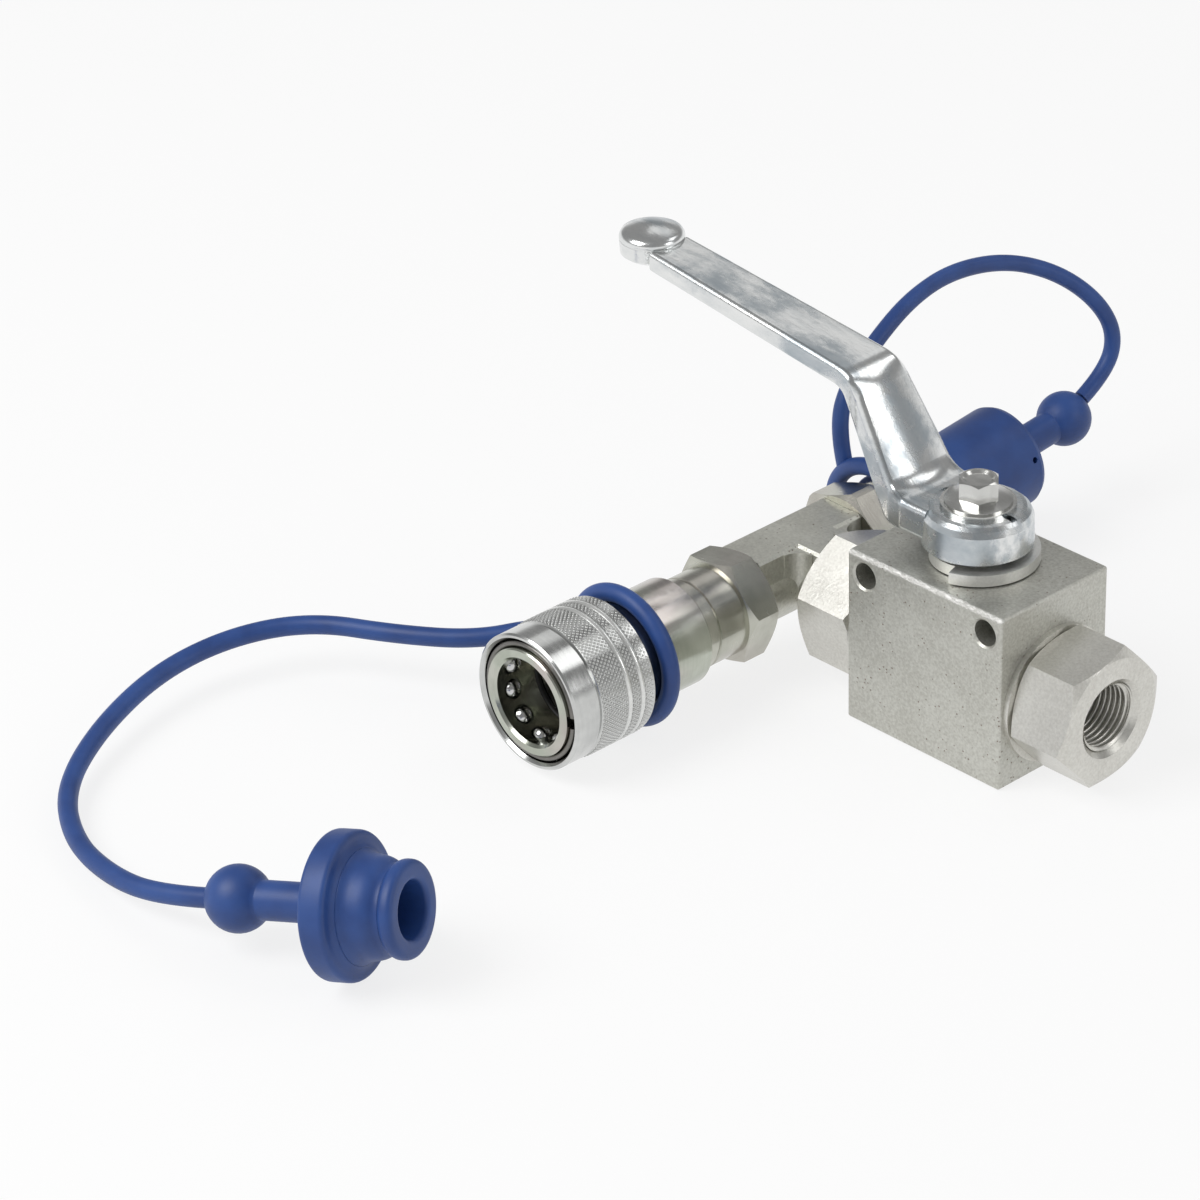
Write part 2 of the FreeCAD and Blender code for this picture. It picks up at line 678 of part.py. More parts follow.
def lever():
    """Drawn pointing along its own +X and turned round to lie over the inlet."""
    hub_top = S.hub_top
    under = S.crank_height - S.arm_thickness + 0.4
    heel = (S.root_reach + 1.5, S.hub_low + 1)
    knee = (S.crank_reach + 3.4, under)
    crank = (S.crank_reach, S.crank_height)
    root_top = (S.root_reach - 1.2, hub_top - 0.3)
    start = S.hub_radius / 2
    side = padded("LeverSide", "XZ_Plane", [
        (start, S.hub_low + 1), heel, knee, (S.arm_reach, S.arm_height - S.arm_thickness),
        (S.arm_reach, S.arm_height), crank, root_top, (start, hub_top - 0.3)], S.root_width + 4,
        centred=True)
    bend(side, "LeverHeelBend", "XZ_Plane", S.heel_bend, [heel, knee])
    bend(side, "LeverCrankBend", "XZ_Plane", S.crank_bend, [crank])
    bend(side, "LeverRootBend", "XZ_Plane", S.root_bend, [root_top])
    far = S.arm_reach + 1
    root_corners = [(S.root_reach, S.root_width / 2), (S.root_reach, -S.root_width / 2)]
    crank_corners = [(S.crank_reach + 2, S.crank_width / 2), (S.crank_reach + 2, -S.crank_width / 2)]
    plan = padded("LeverPlan", "XY_Plane", [
        (0, -S.root_width / 2), root_corners[1], crank_corners[1], (far, -S.arm_width / 2),
        (far, S.arm_width / 2),
        crank_corners[0], root_corners[0], (0, S.root_width / 2)], S.arm_height + 10)
    bend(plan, "LeverPlanBend", "XY_Plane", S.flank_bend, root_corners + crank_corners)
    arm = softened("LeverArmSoft", common("LeverArm", [side, plan]), S.arm_edge.value, side_edge)
    hub_body = turned("LeverHub", [
        (0, S.hub_low), (S.hub_radius - 0.4, S.hub_low), (S.hub_radius, S.hub_low + 0.4),
        (S.hub_radius - 0.2, hub_top - 2.2), (S.hub_radius - 0.8, hub_top - 0.9),
        (S.hub_radius - 1.7, hub_top - 0.2), (S.hub_radius - 2.6, hub_top), (0, hub_top)])
    knob_top = S.knob_low + S.knob_thickness
    knob = turned("LeverKnob", [
        (0, S.knob_low), (S.knob_radius - 1.2, S.knob_low), (S.knob_radius - 0.2, S.knob_low + 0.8),
        (S.knob_radius, knob_top - 1.5), (S.knob_radius - 0.5, knob_top - 0.6),
        (S.knob_radius - 1.9, knob_top),
        (S.knob_radius / 2.8, knob_top + 0.35), (0, knob_top + 0.5)])
    settle(knob, (S.knob_reach, 0, 0))
    square = brick("LeverSquare", S.stem_square + 2 * S.fit_gap, S.stem_square + 2 * S.fit_gap,
                   1.5 * S.hub_height, S.hub_low - S.hub_height / 4)
    mark = brick("LeverMark", 2 * S.hub_radius - 3.2, S.mark_width, 4 * S.mark_depth,
                 hub_top - S.mark_depth)
    node("lever", carved("Lever", [hub_body, arm, knob], [square, mark]), turn=BACKWARD)


def lever_fastening():
    low = S.hub_top
    washer = turned("LeverWasherRing", [
        (S.bolt_radius + S.running_gap, low), (S.washer_radius, low),
        (S.washer_radius, low + S.washer_thickness),
        (S.bolt_radius + S.running_gap, low + S.washer_thickness)])
    node("lever_washer", washer)
    seat = low + S.washer_thickness
    tip = S.stem_top - S.bolt_length + 1
    body = turned("LeverBoltBody", [
        (0, tip), (S.bolt_radius - 0.6, tip), (S.bolt_radius - S.fit_gap, tip + 0.6),
        (S.bolt_radius - S.fit_gap, seat),
        (S.bolt_flange_radius, seat), (S.bolt_flange_radius, seat + 0.45),
        (S.bolt_across / 2, seat + S.bolt_flange), (0, seat + S.bolt_flange)])
    top = seat + S.bolt_flange + S.bolt_head
    head = hexagon("LeverBoltHex", S.bolt_across, seat + 0.6, top, S.bolt_phase.value, bevel_low=False)
    dish = turned("LeverBoltDish", [(0, top - 0.5), (S.bolt_across / 2 - 1.4, top - 0.5),
                                    (S.bolt_across / 2 - 0.6, top + 0.1), (0, top + 0.1)])
    node("lever_bolt", carved("LeverBolt", [body, head], [dish]))


def tee_arm(name, length, turn):
    """One forged arm: flat on top, round below, with a threaded tail."""
    flank = S.tee_flat_half
    upper = padded(name + "Upper", "XY_Plane", [
        (-S.tee_belly, -S.tee_belly_drop), (S.tee_belly, -S.tee_belly_drop), (flank, S.tee_top - 0.6),
        (flank - 0.6, S.tee_top), (0.6 - flank, S.tee_top), (-flank, S.tee_top - 0.6)], length)
    lower = rod(name + "Belly", S.tee_belly, length)
    settle(lower, (0, -S.tee_belly_drop, 0))
    tail_radius = S.thread_radius - S.fit_gap
    tail = turned(name + "Tail", [
        (0, 0), (tail_radius, 0), (tail_radius, length + S.tail_length - 1),
        (tail_radius - 1, length + S.tail_length), (0, length + S.tail_length)])
    arm = fused(name, [upper, lower, tail])
    return settle(arm, (0, 0, 0), turn)


def tee():
    # Each arm is drawn lying on its back, so its own Y turns to point up.
    toward_coupler = AGAINST_Y
    toward_nipple = Rotation(Vector(0, 0, 1), 180).multiply(AGAINST_Y)
    toward_valve = Rotation(Vector(0, 0, 1), 90).multiply(AGAINST_Y)
    arms = [
        tee_arm("TeeCouplerArm", S.tee_coupler_arm, toward_coupler),
        tee_arm("TeeNippleArm", S.tee_nipple_arm, toward_nipple),
        tee_arm("TeeValveArm", S.tee_reach - S.fit_gap, toward_valve)]
    for side, name in ((-1, "Front"), (1, "Back")):
        web = brick("TeeWeb" + name, S.tee_corner * 2, S.tee_corner * 2, S.tee_top + S.tee_belly_drop - 0.6,
                    -S.tee_belly_drop)
        inside = S.tee_belly - 0.4
        settle(web, (inside - S.tee_corner, side * inside - S.tee_corner, -S.tee_belly_drop))
        hollow = rod("TeeHollow" + name, S.tee_corner, 3 * S.tee_top)
        settle(hollow, (inside + S.tee_corner, side * (inside + S.tee_corner), -2 * S.tee_belly_drop))
        arms.append(carved("TeeCorner" + name, [web], [hollow]))
    past = S.tail_length + 2
    run = rod("TeeRunBore", S.port_radius, S.tee_coupler_arm + S.tee_nipple_arm + 2 * past)
    settle(run, (0, S.tee_nipple_arm + past, 0), AGAINST_Y)
    branch = rod("TeeBranchBore", S.port_radius, S.tee_reach + past)
    settle(branch, (0, 0, 0), ALONG_X)
    node("tee", carved("Tee", arms, [run, branch]), (TEE_X, 0, FLOW))


def arm_node(name, thing, station=0, turn=AGAINST_Y):
    """Place a piece on the tee's run: station counts away from the tee."""
    station = as_size(station)
    away = -station if turn is AGAINST_Y else station
    return node(name, thing, (TEE_X, away, FLOW), turn)


# Quick coupler: sleeve, locking balls and spring-loaded poppet
def coupler_bodies():
    foot = S.tee_coupler_arm + S.fit_gap
    hex_end = foot + S.adapter_hex
    spigot = S.coupler_radius - 2.5
    inner = S.coupler_back + 7.8
    groove = hex_end + 7.5
    core = turned("AdapterCore", [
        (0, hex_end - 1), (S.adapter_radius, hex_end - 1), (S.adapter_radius, groove),
        (S.adapter_radius - 0.35, groove + 0.2), (S.adapter_radius - 0.35, groove + 0.7),
        (S.adapter_radius, groove + 0.9),
        (S.adapter_radius, S.coupler_back - 0.3), (S.adapter_radius - 0.3, S.coupler_back),
        (spigot - S.fit_gap, S.coupler_back), (spigot - S.fit_gap, inner), (0, inner)])
    nut = hexagon("AdapterHex", S.adapter_across, foot, hex_end, S.adapter_phase.value)
    bore = turned("AdapterBore", [
        (0, foot - 1), (S.thread_radius, foot - 1), (S.thread_radius, foot + S.tail_length + 1),
        (S.port_radius, foot + S.tail_length + 2), (S.port_radius, foot + S.tail_length + 5),
        (spigot - 3, foot + S.tail_length + 7), (spigot - 3, inner + 1), (0, inner + 1)])
    arm_node("coupler_adapter", carved("Adapter", [nut, core], [bore]))

    collar = S.sleeve_bore - S.running_gap
    shell = turned("CouplerShell", [
        (0, S.coupler_back + S.fit_gap), (S.coupler_radius - 0.4, S.coupler_back + S.fit_gap),
        (S.coupler_radius, S.coupler_back + 0.5), (S.coupler_radius, S.sleeve_back + 0.6),
        (collar, S.sleeve_back + 0.6), (collar, S.sleeve_back + 2.8),
        (S.coupler_radius, S.sleeve_back + 2.8),
        (S.coupler_radius, S.coupler_front - 0.3), (S.coupler_radius - 0.3, S.coupler_front),
        (0, S.coupler_front)])
    seal_half = S.bore_seal_wire + 0.1
    seal_depth = S.socket_radius + 2 * S.bore_seal_wire - 0.15
    throat = S.socket_radius - 3.26
    socket = turned("CouplerSocket", [
        (0, S.coupler_back), (spigot, S.coupler_back), (spigot, inner + S.fit_gap),
        (spigot - 0.6, inner + S.fit_gap),
        (spigot - 0.6, S.socket_bottom - 4.3), (throat, S.socket_bottom - 1.65), (throat, S.socket_bottom),
        (S.socket_radius, S.socket_bottom), (S.socket_radius, S.bore_seal_station - seal_half),
        (seal_depth, S.bore_seal_station - seal_half), (seal_depth, S.bore_seal_station + seal_half),
        (S.socket_radius, S.bore_seal_station + seal_half), (S.socket_radius, S.coupler_front - 0.6),
        (S.socket_radius + 1.6, S.coupler_front + 1), (0, S.coupler_front + 1)])
    holes = [socket]
    for count in range(LOCK_BALLS):
        angle = S.lock_ball_phase + 360 / LOCK_BALLS * count
        hole = rod(f"LockBallHole{count + 1:02d}", S.lock_ball_radius + S.running_gap / 1.2, 6)
        reach = S.socket_radius - 1.5
        settle(hole, (reach * cosine(angle), reach * sine(angle), S.ball_station), outward(angle.value))
        holes.append(hole)
    arm_node("coupler_body", carved("Coupler", [shell], holes))
    arm_node("coupler_bore_seal",
             hoop("BoreSealRing", S.socket_radius + S.bore_seal_wire - 0.2, S.bore_seal_wire),
             S.bore_seal_station)


def lock_balls():
    for count in range(LOCK_BALLS):
        angle = S.lock_ball_phase + 360 / LOCK_BALLS * count
        name = f"lock_ball_{count + 1:02d}"
        spot = (TEE_X + S.lock_ball_circle * cosine(angle), -S.ball_station,
                FLOW + S.lock_ball_circle * sine(angle))
        node(name, globe(name + "_globe", S.lock_ball_radius), spot)


def sleeve_set():
    ramp = S.ball_station - 0.7
    rise = S.sleeve_bore - 0.1 - S.land_radius
    ramp_end = ramp + rise * S.sleeve_travel / S.ball_travel
    band = S.sleeve_front - 6.5
    outer = S.sleeve_radius
    bead = outer + 0.25
    corners = [(S.sleeve_bore + 0.1, S.sleeve_back), (outer - 0.5, S.sleeve_back),
               (outer + 0.1, S.sleeve_back + 0.6)]
    for station in (S.sleeve_back + S.sleeve_bead, S.sleeve_back + S.sleeve_bead + S.bead_spacing):
        corners += [(outer, station - 0.7), (bead, station - 0.35), (bead, station + 0.35),
                    (outer, station + 0.7)]
    corners += [
        (outer, band - 0.6), (outer - 0.5, band - 0.3), (outer - 0.5, band + 0.1), (outer, band + 0.4),
        (outer, S.sleeve_front - 0.4), (outer - 0.4, S.sleeve_front), (S.sleeve_bore + 0.4, S.sleeve_front),
        (S.sleeve_bore - 0.1, S.sleeve_front - 0.7), (S.sleeve_bore - 0.1, ramp_end), (S.land_radius, ramp),
        (S.land_radius, ramp - 3.2), (S.sleeve_bore, ramp - 3.2), (S.sleeve_bore, S.sleeve_back + 0.4)]
    arm_node("coupler_sleeve", turned("SleeveTube", corners))
    start = S.sleeve_back + 2.8 + S.fit_gap
    room = ramp - 3.2 - S.fit_gap - start
    circle = (S.sleeve_bore + S.coupler_radius) / 2 + 0.1
    arm_node("sleeve_spring", spring("SleeveSpring", circle, S.sleeve_wire, room, 4), start + S.sleeve_wire)
    ring = hoop("SnapRingWire", S.coupler_radius + S.snap_ring_wire + S.fit_gap, S.snap_ring_wire)
    gap = brick("SnapRingGap", S.coupler_radius, S.snap_ring_gap, 4 * S.snap_ring_wire)
    settle(gap, (S.coupler_radius / 2, -S.snap_ring_gap / 2, -2 * S.snap_ring_wire))
    arm_node("sleeve_snap_ring", carved("SnapRing", [ring], [gap]), S.coupler_front - 1.45)


def poppet_set(prefix, turn, front, nose, mouth, head, rear, stem_radius, guide_low, guide_radius, hub,
               wire):
    """A cone poppet, its spring and the spider that guides it."""
    cone_back = front - (head - mouth)
    poppet = turned(prefix + "PoppetTurn", [
        (0, rear), (stem_radius - 0.3, rear), (stem_radius, rear + 0.3), (stem_radius, cone_back - 1.2),
        (head, cone_back - 1.2), (head, cone_back), (mouth, front), (2.8, front), (2.8, front + nose - 0.9),
        (1.9, front + nose), (0, front + nose)])
    arm_node(prefix + "_poppet", poppet, turn=turn)
    guide_high = guide_low + 1.5
    bore = as_size(stem_radius) + S.running_gap
    spider = turned(prefix + "SpiderTurn", [
        (bore, guide_low), (guide_radius, guide_low), (guide_radius, guide_high), (hub, guide_high),
        (hub, guide_high + 2), (bore, guide_high + 2)])
    windows = []
    for count in range(3):
        window = rod(f"{prefix}Window{count}", (as_size(guide_radius) - hub) / 2 - 0.5, 6)
        angle = 120 * count + 30
        reach = (as_size(guide_radius) + hub) / 2
        windows.append(settle(window, (reach * cosine(angle), reach * sine(angle), as_size(guide_low) - 2)))
    arm_node(prefix + "_guide", carved(prefix + "Spider", [spider], windows), turn=turn)
    room = cone_back - 1.2 - guide_high - 2 * S.fit_gap
    coil = spring(prefix + "Spring", as_size(hub) + wire + 0.3, wire, room, 4)
    arm_node(prefix + "_spring", coil, guide_high + S.fit_gap + wire, turn)


def coupler_valve():
    inner = S.coupler_back + 7.8 + S.fit_gap
    throat = S.socket_radius - 3.26
    poppet_set("coupler", AGAINST_Y, front=S.socket_bottom - 1.6, nose=5.1, mouth=throat - 0.4,
               head=S.coupler_radius - 3.75, rear=S.coupler_back + 5, stem_radius=2.4,
               guide_low=inner + S.fit_gap, guide_radius=S.coupler_radius - 3.2, hub=4.2, wire=S.poppet_wire)


# Coupler nipple under the dust cap
def nipple_set():
    foot = S.tee_nipple_arm + S.fit_gap
    hex_end = foot + S.nipple_hex
    nose, end = S.nipple_nose, S.nipple_end
    groove = end - 6.5
    core = turned("NippleCore", [
        (0, hex_end - 1), (S.nipple_neck, hex_end - 1), (S.nipple_neck, S.nipple_shoulder - 0.5),
        (nose, S.nipple_shoulder), (nose, groove - 2.6), (nose - 1.3, groove - 1.3),
        (nose - 1.3, groove + 0.3),
        (nose, groove + 1.6), (nose, end - 1.4), (nose - 1.4, end), (0, end)])
    nut = hexagon("NippleHex", S.nipple_across, foot, hex_end, -S.nipple_phase.value,
                  turned_to=S.nipple_turned)
    clip_low = foot + S.tail_length + 2.6
    guide_low = clip_low + 1.1
    mouth = S.nipple_bore - 2.4
    bore = turned("NippleBore", [
        (0, foot - 1), (S.thread_radius, foot - 1), (S.thread_radius, foot + S.tail_length + 1),
        (S.nipple_bore, foot + S.tail_length + 1.5), (S.nipple_bore, clip_low),
        (S.nipple_bore + 0.6, clip_low),
        (S.nipple_bore + 0.6, clip_low + 1), (S.nipple_bore, clip_low + 1), (S.nipple_bore, end - 4.4),
        (mouth, end - 2), (mouth, end + 1), (0, end + 1)])
    arm_node("nipple_body", carved("Nipple", [nut, core], [bore]), turn=ALONG_Y)
    poppet_set("nipple", ALONG_Y, front=end - 2.15, nose=1.85, mouth=mouth - 0.3,
               head=S.nipple_bore - 0.45, rear=clip_low - 2.5, stem_radius=2.2,
               guide_low=guide_low, guide_radius=S.nipple_bore - 0.1, hub=3.6, wire=S.nipple_wire)
    ring = turned("NippleClipRing", [
        (S.nipple_bore - 1.2, clip_low + 0.05), (S.nipple_bore + 0.5, clip_low + 0.05),
        (S.nipple_bore + 0.5, clip_low + 0.95), (S.nipple_bore - 1.2, clip_low + 0.95)])
    gap = brick("NippleClipGap", 8, 3, 4)
    settle(gap, (S.nipple_bore - 3, -1.5, clip_low - 1))
    arm_node("nipple_clip", carved("NippleClip", [ring], [gap]), turn=ALONG_Y)


# Blue dust protection
def dust_parts():
    arm_node("plug_ring", hoop("PlugRing", S.ring_circle, S.ring_wire), S.plug_ring_station)
    leaning = ALONG_Y.multiply(Rotation(Vector(1, 0, 0), S.cap_ring_lean.value))
    node("cap_ring", hoop("CapRing", S.ring_circle, S.ring_wire),
         (TEE_X, S.cap_ring_station, FLOW + S.cap_ring_lift), leaning)

    closed = S.cap_length - S.cap_mouth
    shell = turned("CapShell", [
        (0, -S.cap_mouth), (S.cap_radius - 0.3, -S.cap_mouth), (S.cap_radius, 0.3 - S.cap_mouth),
        (S.cap_radius, closed - 1.6), (S.cap_radius - 0.5, closed - 0.5), (S.cap_radius - 1.6, closed),
        (0, closed)])
    bead_at = closed + S.cap_bead_reach
    stub = rod("CapStub", S.cap_stub_radius, S.cap_bead_reach, closed)
    bead = settle(globe("CapBead", S.cap_bead_radius), (0, 0, bead_at))
    hollow = turned("CapHollow", [
        (0, -S.cap_mouth - 1), (S.cap_bore, -S.cap_mouth - 1), (S.cap_bore, closed - S.cap_floor - 1.5),
        (S.cap_bore - 1.5, closed - S.cap_floor), (0, closed - S.cap_floor)])
    vent = rod("CapVent", S.cap_vent_radius, S.cap_radius)
    settle(vent, (S.cap_radius / 2 * cosine(S.cap_vent_angle), -S.cap_radius / 2 * sine(S.cap_vent_angle),
                  S.cap_vent_station), outward(-S.cap_vent_angle.value))
    pitched = ALONG_Y.multiply(Rotation(Vector(1, 0, 0), S.cap_pitch.value))
    node("dust_cap", carved("Cap", [shell, stub, bead], [hollow, vent]), (TEE_X, S.cap_pivot, FLOW),
         pitched)

    half = S.plug_flange / 2
    rim = S.plug_across / 2
    nose = half + S.plug_nose
    plug = turned("PlugShell", [
        (0, -half), (rim - 0.9, -half), (rim - 0.2, 0.3 - half), (rim, 1 - half), (rim, half - 1),
        (rim - 0.2, half - 0.3),
        (rim - 0.9, half), (S.plug_body_radius + 1, half), (S.plug_body_radius, half + 0.9),
        (S.plug_body_radius, half + 5), (S.plug_groove_radius, half + 6.6),
        (S.plug_groove_radius, half + 8.4),
        (S.plug_lip_radius, half + 8.8), (S.plug_lip_radius, nose - 0.9), (S.plug_lip_radius - 0.9, nose),
        (0, nose)])
    shank = rod("PlugStub", S.plug_stub_radius, S.plug_bead_reach, -S.plug_bead_reach)
    knob = settle(globe("PlugBead", S.plug_bead_radius), (0, 0, -S.plug_bead_reach))
    recess = rod("PlugRecess", S.plug_hole_radius, S.plug_nose + 2, half - 0.5)
    azimuth, pitch = math.radians(S.plug_azimuth.value), math.radians(S.plug_pitch.value)
    way = Vector(math.cos(pitch) * math.cos(azimuth), math.cos(pitch) * math.sin(azimuth), math.sin(pitch))
    node("dust_plug", carved("Plug", [plug, shank, knob], [recess]), PLUG_SPOT,
         Rotation(Vector(0, 0, 1), way))
    strap("plug_cord", PLUG_ROUTE, S.plug_cord_radius)
    strap("cap_cord", CAP_ROUTE, S.cap_cord_radius)


def checked():
    """Stop before writing anything if a feature or a shape is not sound."""
    doc.recompute()
    failed = [item.Name for item in doc.Objects if {"Invalid", "Error"} & set(item.State)]
    if failed:
        raise RuntimeError(f"features that failed: {failed}")
    for name, thing in NODES.items():
        if thing.Shape.isNull() or not thing.Shape.isValid():
            raise RuntimeError(f"{name} has no valid shape")
        if not thing.Shape.Solids:
            raise RuntimeError(f"{name} holds no solid")


def main():
    valve_block()
    connector("outlet_connector", ALONG_X, S.outlet_phase.value, S.outlet_reach)
    connector("inlet_connector", AGAINST_X, S.inlet_phase.value, S.inlet_reach)
    ball_and_seats()
    stem_set()
    stop_set()
    lever()
    lever_fastening()
    tee()
    coupler_bodies()
    lock_balls()
    sleeve_set()
    coupler_valve()
    nipple_set()
    dust_parts()
    checked()
    os.makedirs("parts", exist_ok=True)
    for name, thing in NODES.items():
        thing.Shape.exportStep(os.path.join("parts", name + ".step"))
        print(f"{name}: {len(thing.Shape.Solids)} solid, {thing.Shape.Volume / 1000:.3f} cm3")
    print(f"{len(NODES)} nodes")


main()
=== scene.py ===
# %% [markdown]
# # A vent valve with a quick coupler and its dust protection
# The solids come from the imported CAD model, so this lesson is about surfaces:
# zinc plate, turned steel, blue elastomer, a knurled sleeve and a pipe thread.
# It also redraws what is soft or springy: two straps, a plug and three springs.
# Everything is in metres. +X is the open port, +Y the capped nipple, +Z the stem.
# The coupler, the tee's run and the nipple share an axis along Y at TEE_X, and
# all flow ways lie at FLOW_HEIGHT.

# %% Load the frame
import math

import bmesh
import bpy
from mathutils import Matrix, Vector


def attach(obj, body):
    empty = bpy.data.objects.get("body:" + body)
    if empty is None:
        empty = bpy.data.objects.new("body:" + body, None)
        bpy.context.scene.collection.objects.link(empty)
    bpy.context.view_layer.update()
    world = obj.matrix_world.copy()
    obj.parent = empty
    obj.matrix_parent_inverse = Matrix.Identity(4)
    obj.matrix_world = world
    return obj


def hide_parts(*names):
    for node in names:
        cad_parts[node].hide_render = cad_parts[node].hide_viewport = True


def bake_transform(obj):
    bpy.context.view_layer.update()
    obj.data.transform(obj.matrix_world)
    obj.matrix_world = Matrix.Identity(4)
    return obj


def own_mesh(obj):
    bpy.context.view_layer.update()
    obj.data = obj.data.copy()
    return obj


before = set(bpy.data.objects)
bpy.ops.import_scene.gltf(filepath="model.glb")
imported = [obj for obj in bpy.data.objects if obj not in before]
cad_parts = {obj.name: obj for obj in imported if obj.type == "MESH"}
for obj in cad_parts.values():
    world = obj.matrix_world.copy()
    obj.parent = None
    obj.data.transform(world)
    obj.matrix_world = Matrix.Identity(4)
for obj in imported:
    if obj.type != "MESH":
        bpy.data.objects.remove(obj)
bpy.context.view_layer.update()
MM = 0.001
TEE_X = -51.8 * MM
FLOW_HEIGHT = 17.1 * MM

# %% [markdown]
# ## The camera
# The photograph was taken with a long lens from above the coupler's side. The
# camera is a location and three angles, which were worked out from the
# valve block's corners. A long lens keeps the block's edges nearly parallel.

# %% Place the camera
CAMERA_PLACE = Vector((607.15, -663.63, 539.16)) * MM
CAMERA_AZIMUTH = 47.406
CAMERA_HEIGHT = 29.498
CAMERA_ROLL = -1.447
SENSOR = 36.0
LENS = 150.0
NEAREST = 10 * MM
FARTHEST = 10.0


def placed(name, data):
    """A new object for some data, linked into the scene."""
    thing = bpy.data.objects.new(name, data)
    bpy.context.scene.collection.objects.link(thing)
    return thing


def camera_turn(azimuth, height, roll):
    """The rotation of a camera that looks down at the object from an azimuth."""
    turn = Matrix.Rotation(math.radians(azimuth), 4, "Z")
    tilt = Matrix.Rotation(math.radians(90 - height), 4, "X")
    spin = Matrix.Rotation(math.radians(roll), 4, "Z")
    return turn @ tilt @ spin


camera_data = bpy.data.cameras.new("camera")
camera_data.sensor_width = SENSOR
camera_data.lens = LENS
camera_data.clip_start = NEAREST
camera_data.clip_end = FARTHEST
camera = placed("camera", camera_data)
looking = camera_turn(CAMERA_AZIMUTH, CAMERA_HEIGHT, CAMERA_ROLL)
camera.matrix_world = Matrix.Translation(CAMERA_PLACE) @ looking
bpy.context.scene.camera = camera
bpy.context.scene.view_settings.view_transform = "Standard"
print("camera distance:", round(CAMERA_PLACE.length, 3))

# %% [markdown]
# ## The two straps
# Plug and cap each hang on a moulded strap, which is stiff and springs into
# one smooth bow. A NURBS spline pulls its line smoothly past its control
# points, so a few listed points give a strap with no kink. Bezier
# handles would need a tangent at every point.

# %% Control points of the straps
PLUG_STRAP = [
    (-66.6, -51.4, 17.2), (-75.6, -53.4, 15.0), (-84.0, -64.0, 12.8), (-98.6, -73.6, 12.2),
    (-116.4, -81.8, 11.6), (-125.7, -96.5, 10.3), (-128.0, -115.0, 8.2), (-121.3, -136.6, 6.0),
    (-110.4, -154.3, 3.8), (-94.7, -164.1, 2.7), (-77.2, -168.1, 4.0), (-62.2, -167.8, 6.4),
    (-50.2, -164.0, 9.4),
]
CAP_STRAP = [
    (-62.2, 25.2, 28.0), (-64.8, 25.0, 37.5), (-65.2, 29.5, 46.8), (-66.0, 39.2, 53.6),
    (-67.6, 51.4, 58.2), (-68.2, 64.8, 59.8), (-65.8, 79.2, 58.2), (-60.5, 90.2, 53.4),
    (-55.0, 97.7, 45.9), (-52.0, 101.2, 37.3), (-51.7, 98.3, 29.0), (-51.75, 90.0, 24.9),
]
PLUG_STRAP_RADIUS = 2.1 * MM
CAP_STRAP_RADIUS = 1.85 * MM
STEPS_ALONG = 12
STEPS_AROUND = 5


def strap_curve(name, points, radius):
    """A round strap on one NURBS spline."""
    curve = bpy.data.curves.new(name, "CURVE")
    curve.dimensions = "3D"
    curve.resolution_u = STEPS_ALONG
    curve.bevel_depth = radius
    curve.bevel_resolution = STEPS_AROUND
    curve.use_fill_caps = True
    spline = curve.splines.new("NURBS")
    spline.points.add(len(points) - 1)
    for slot, point in zip(spline.points, points):
        slot.co = (*(Vector(point) * MM), 1)
    spline.order_u = 3
    spline.use_endpoint_u = True
    return placed(name, curve)


def centreline(strap):
    """The points that the strap's own spline passes through."""
    depth = strap.data.bevel_depth
    strap.data.bevel_depth = 0
    bpy.context.view_layer.update()
    line = bpy.data.meshes.new_from_object(strap)
    strap.data.bevel_depth = depth
    points = [vertex.co.copy() for vertex in line.vertices]
    bpy.data.meshes.remove(line)
    return points


def line_length(points):
    """The length of a line through points."""
    return sum((after - before).length for before, after in zip(points, points[1:]))


def strap_mesh(name, points, radius):
    """A strap as a plain mesh, with the points that it follows."""
    curve = strap_curve(name + "_line", points, radius)
    line = centreline(curve)
    strap = placed(name, bpy.data.meshes.new_from_object(curve))
    bpy.data.objects.remove(curve)
    strap.data.polygons.foreach_set("use_smooth", [True] * len(strap.data.polygons))
    print(name, "length:", round(line_length(line), 4))
    return strap, line


plug_strap, plug_line = strap_mesh("plug_strap", PLUG_STRAP, PLUG_STRAP_RADIUS)
cap_strap, cap_line = strap_mesh("cap_strap", CAP_STRAP, CAP_STRAP_RADIUS)

# %% [markdown]
# ## Turned pieces
# The plug is soft and round: its flange runs into the body in a hollow, and its
# lip is a fat ring. A lathe outline with a rounding at each corner gives that,
# where the CAD solid has short chamfers. The lever's round end gets a
# shallow dome in the same way.

# %% A lathe with rounded corners
ON_AXIS = 1e-6


def rounded(outline, steps=7):
    """An outline of (radius, station, rounding) with its corners rounded off."""
    spots = [Vector(corner[:2]) for corner in outline]
    line = [spots[0]]
    for before, corner, after, (_, _, cut) in zip(spots, spots[1:], spots[2:], outline[1:-1]):
        if not cut:
            line.append(corner)
            continue
        first = corner + (before - corner).normalized() * cut
        last = corner + (after - corner).normalized() * cut
        for step in range(steps + 1):
            share = step / steps
            line.append(first.lerp(corner, share).lerp(corner.lerp(last, share), share))
    return line + [spots[-1]]


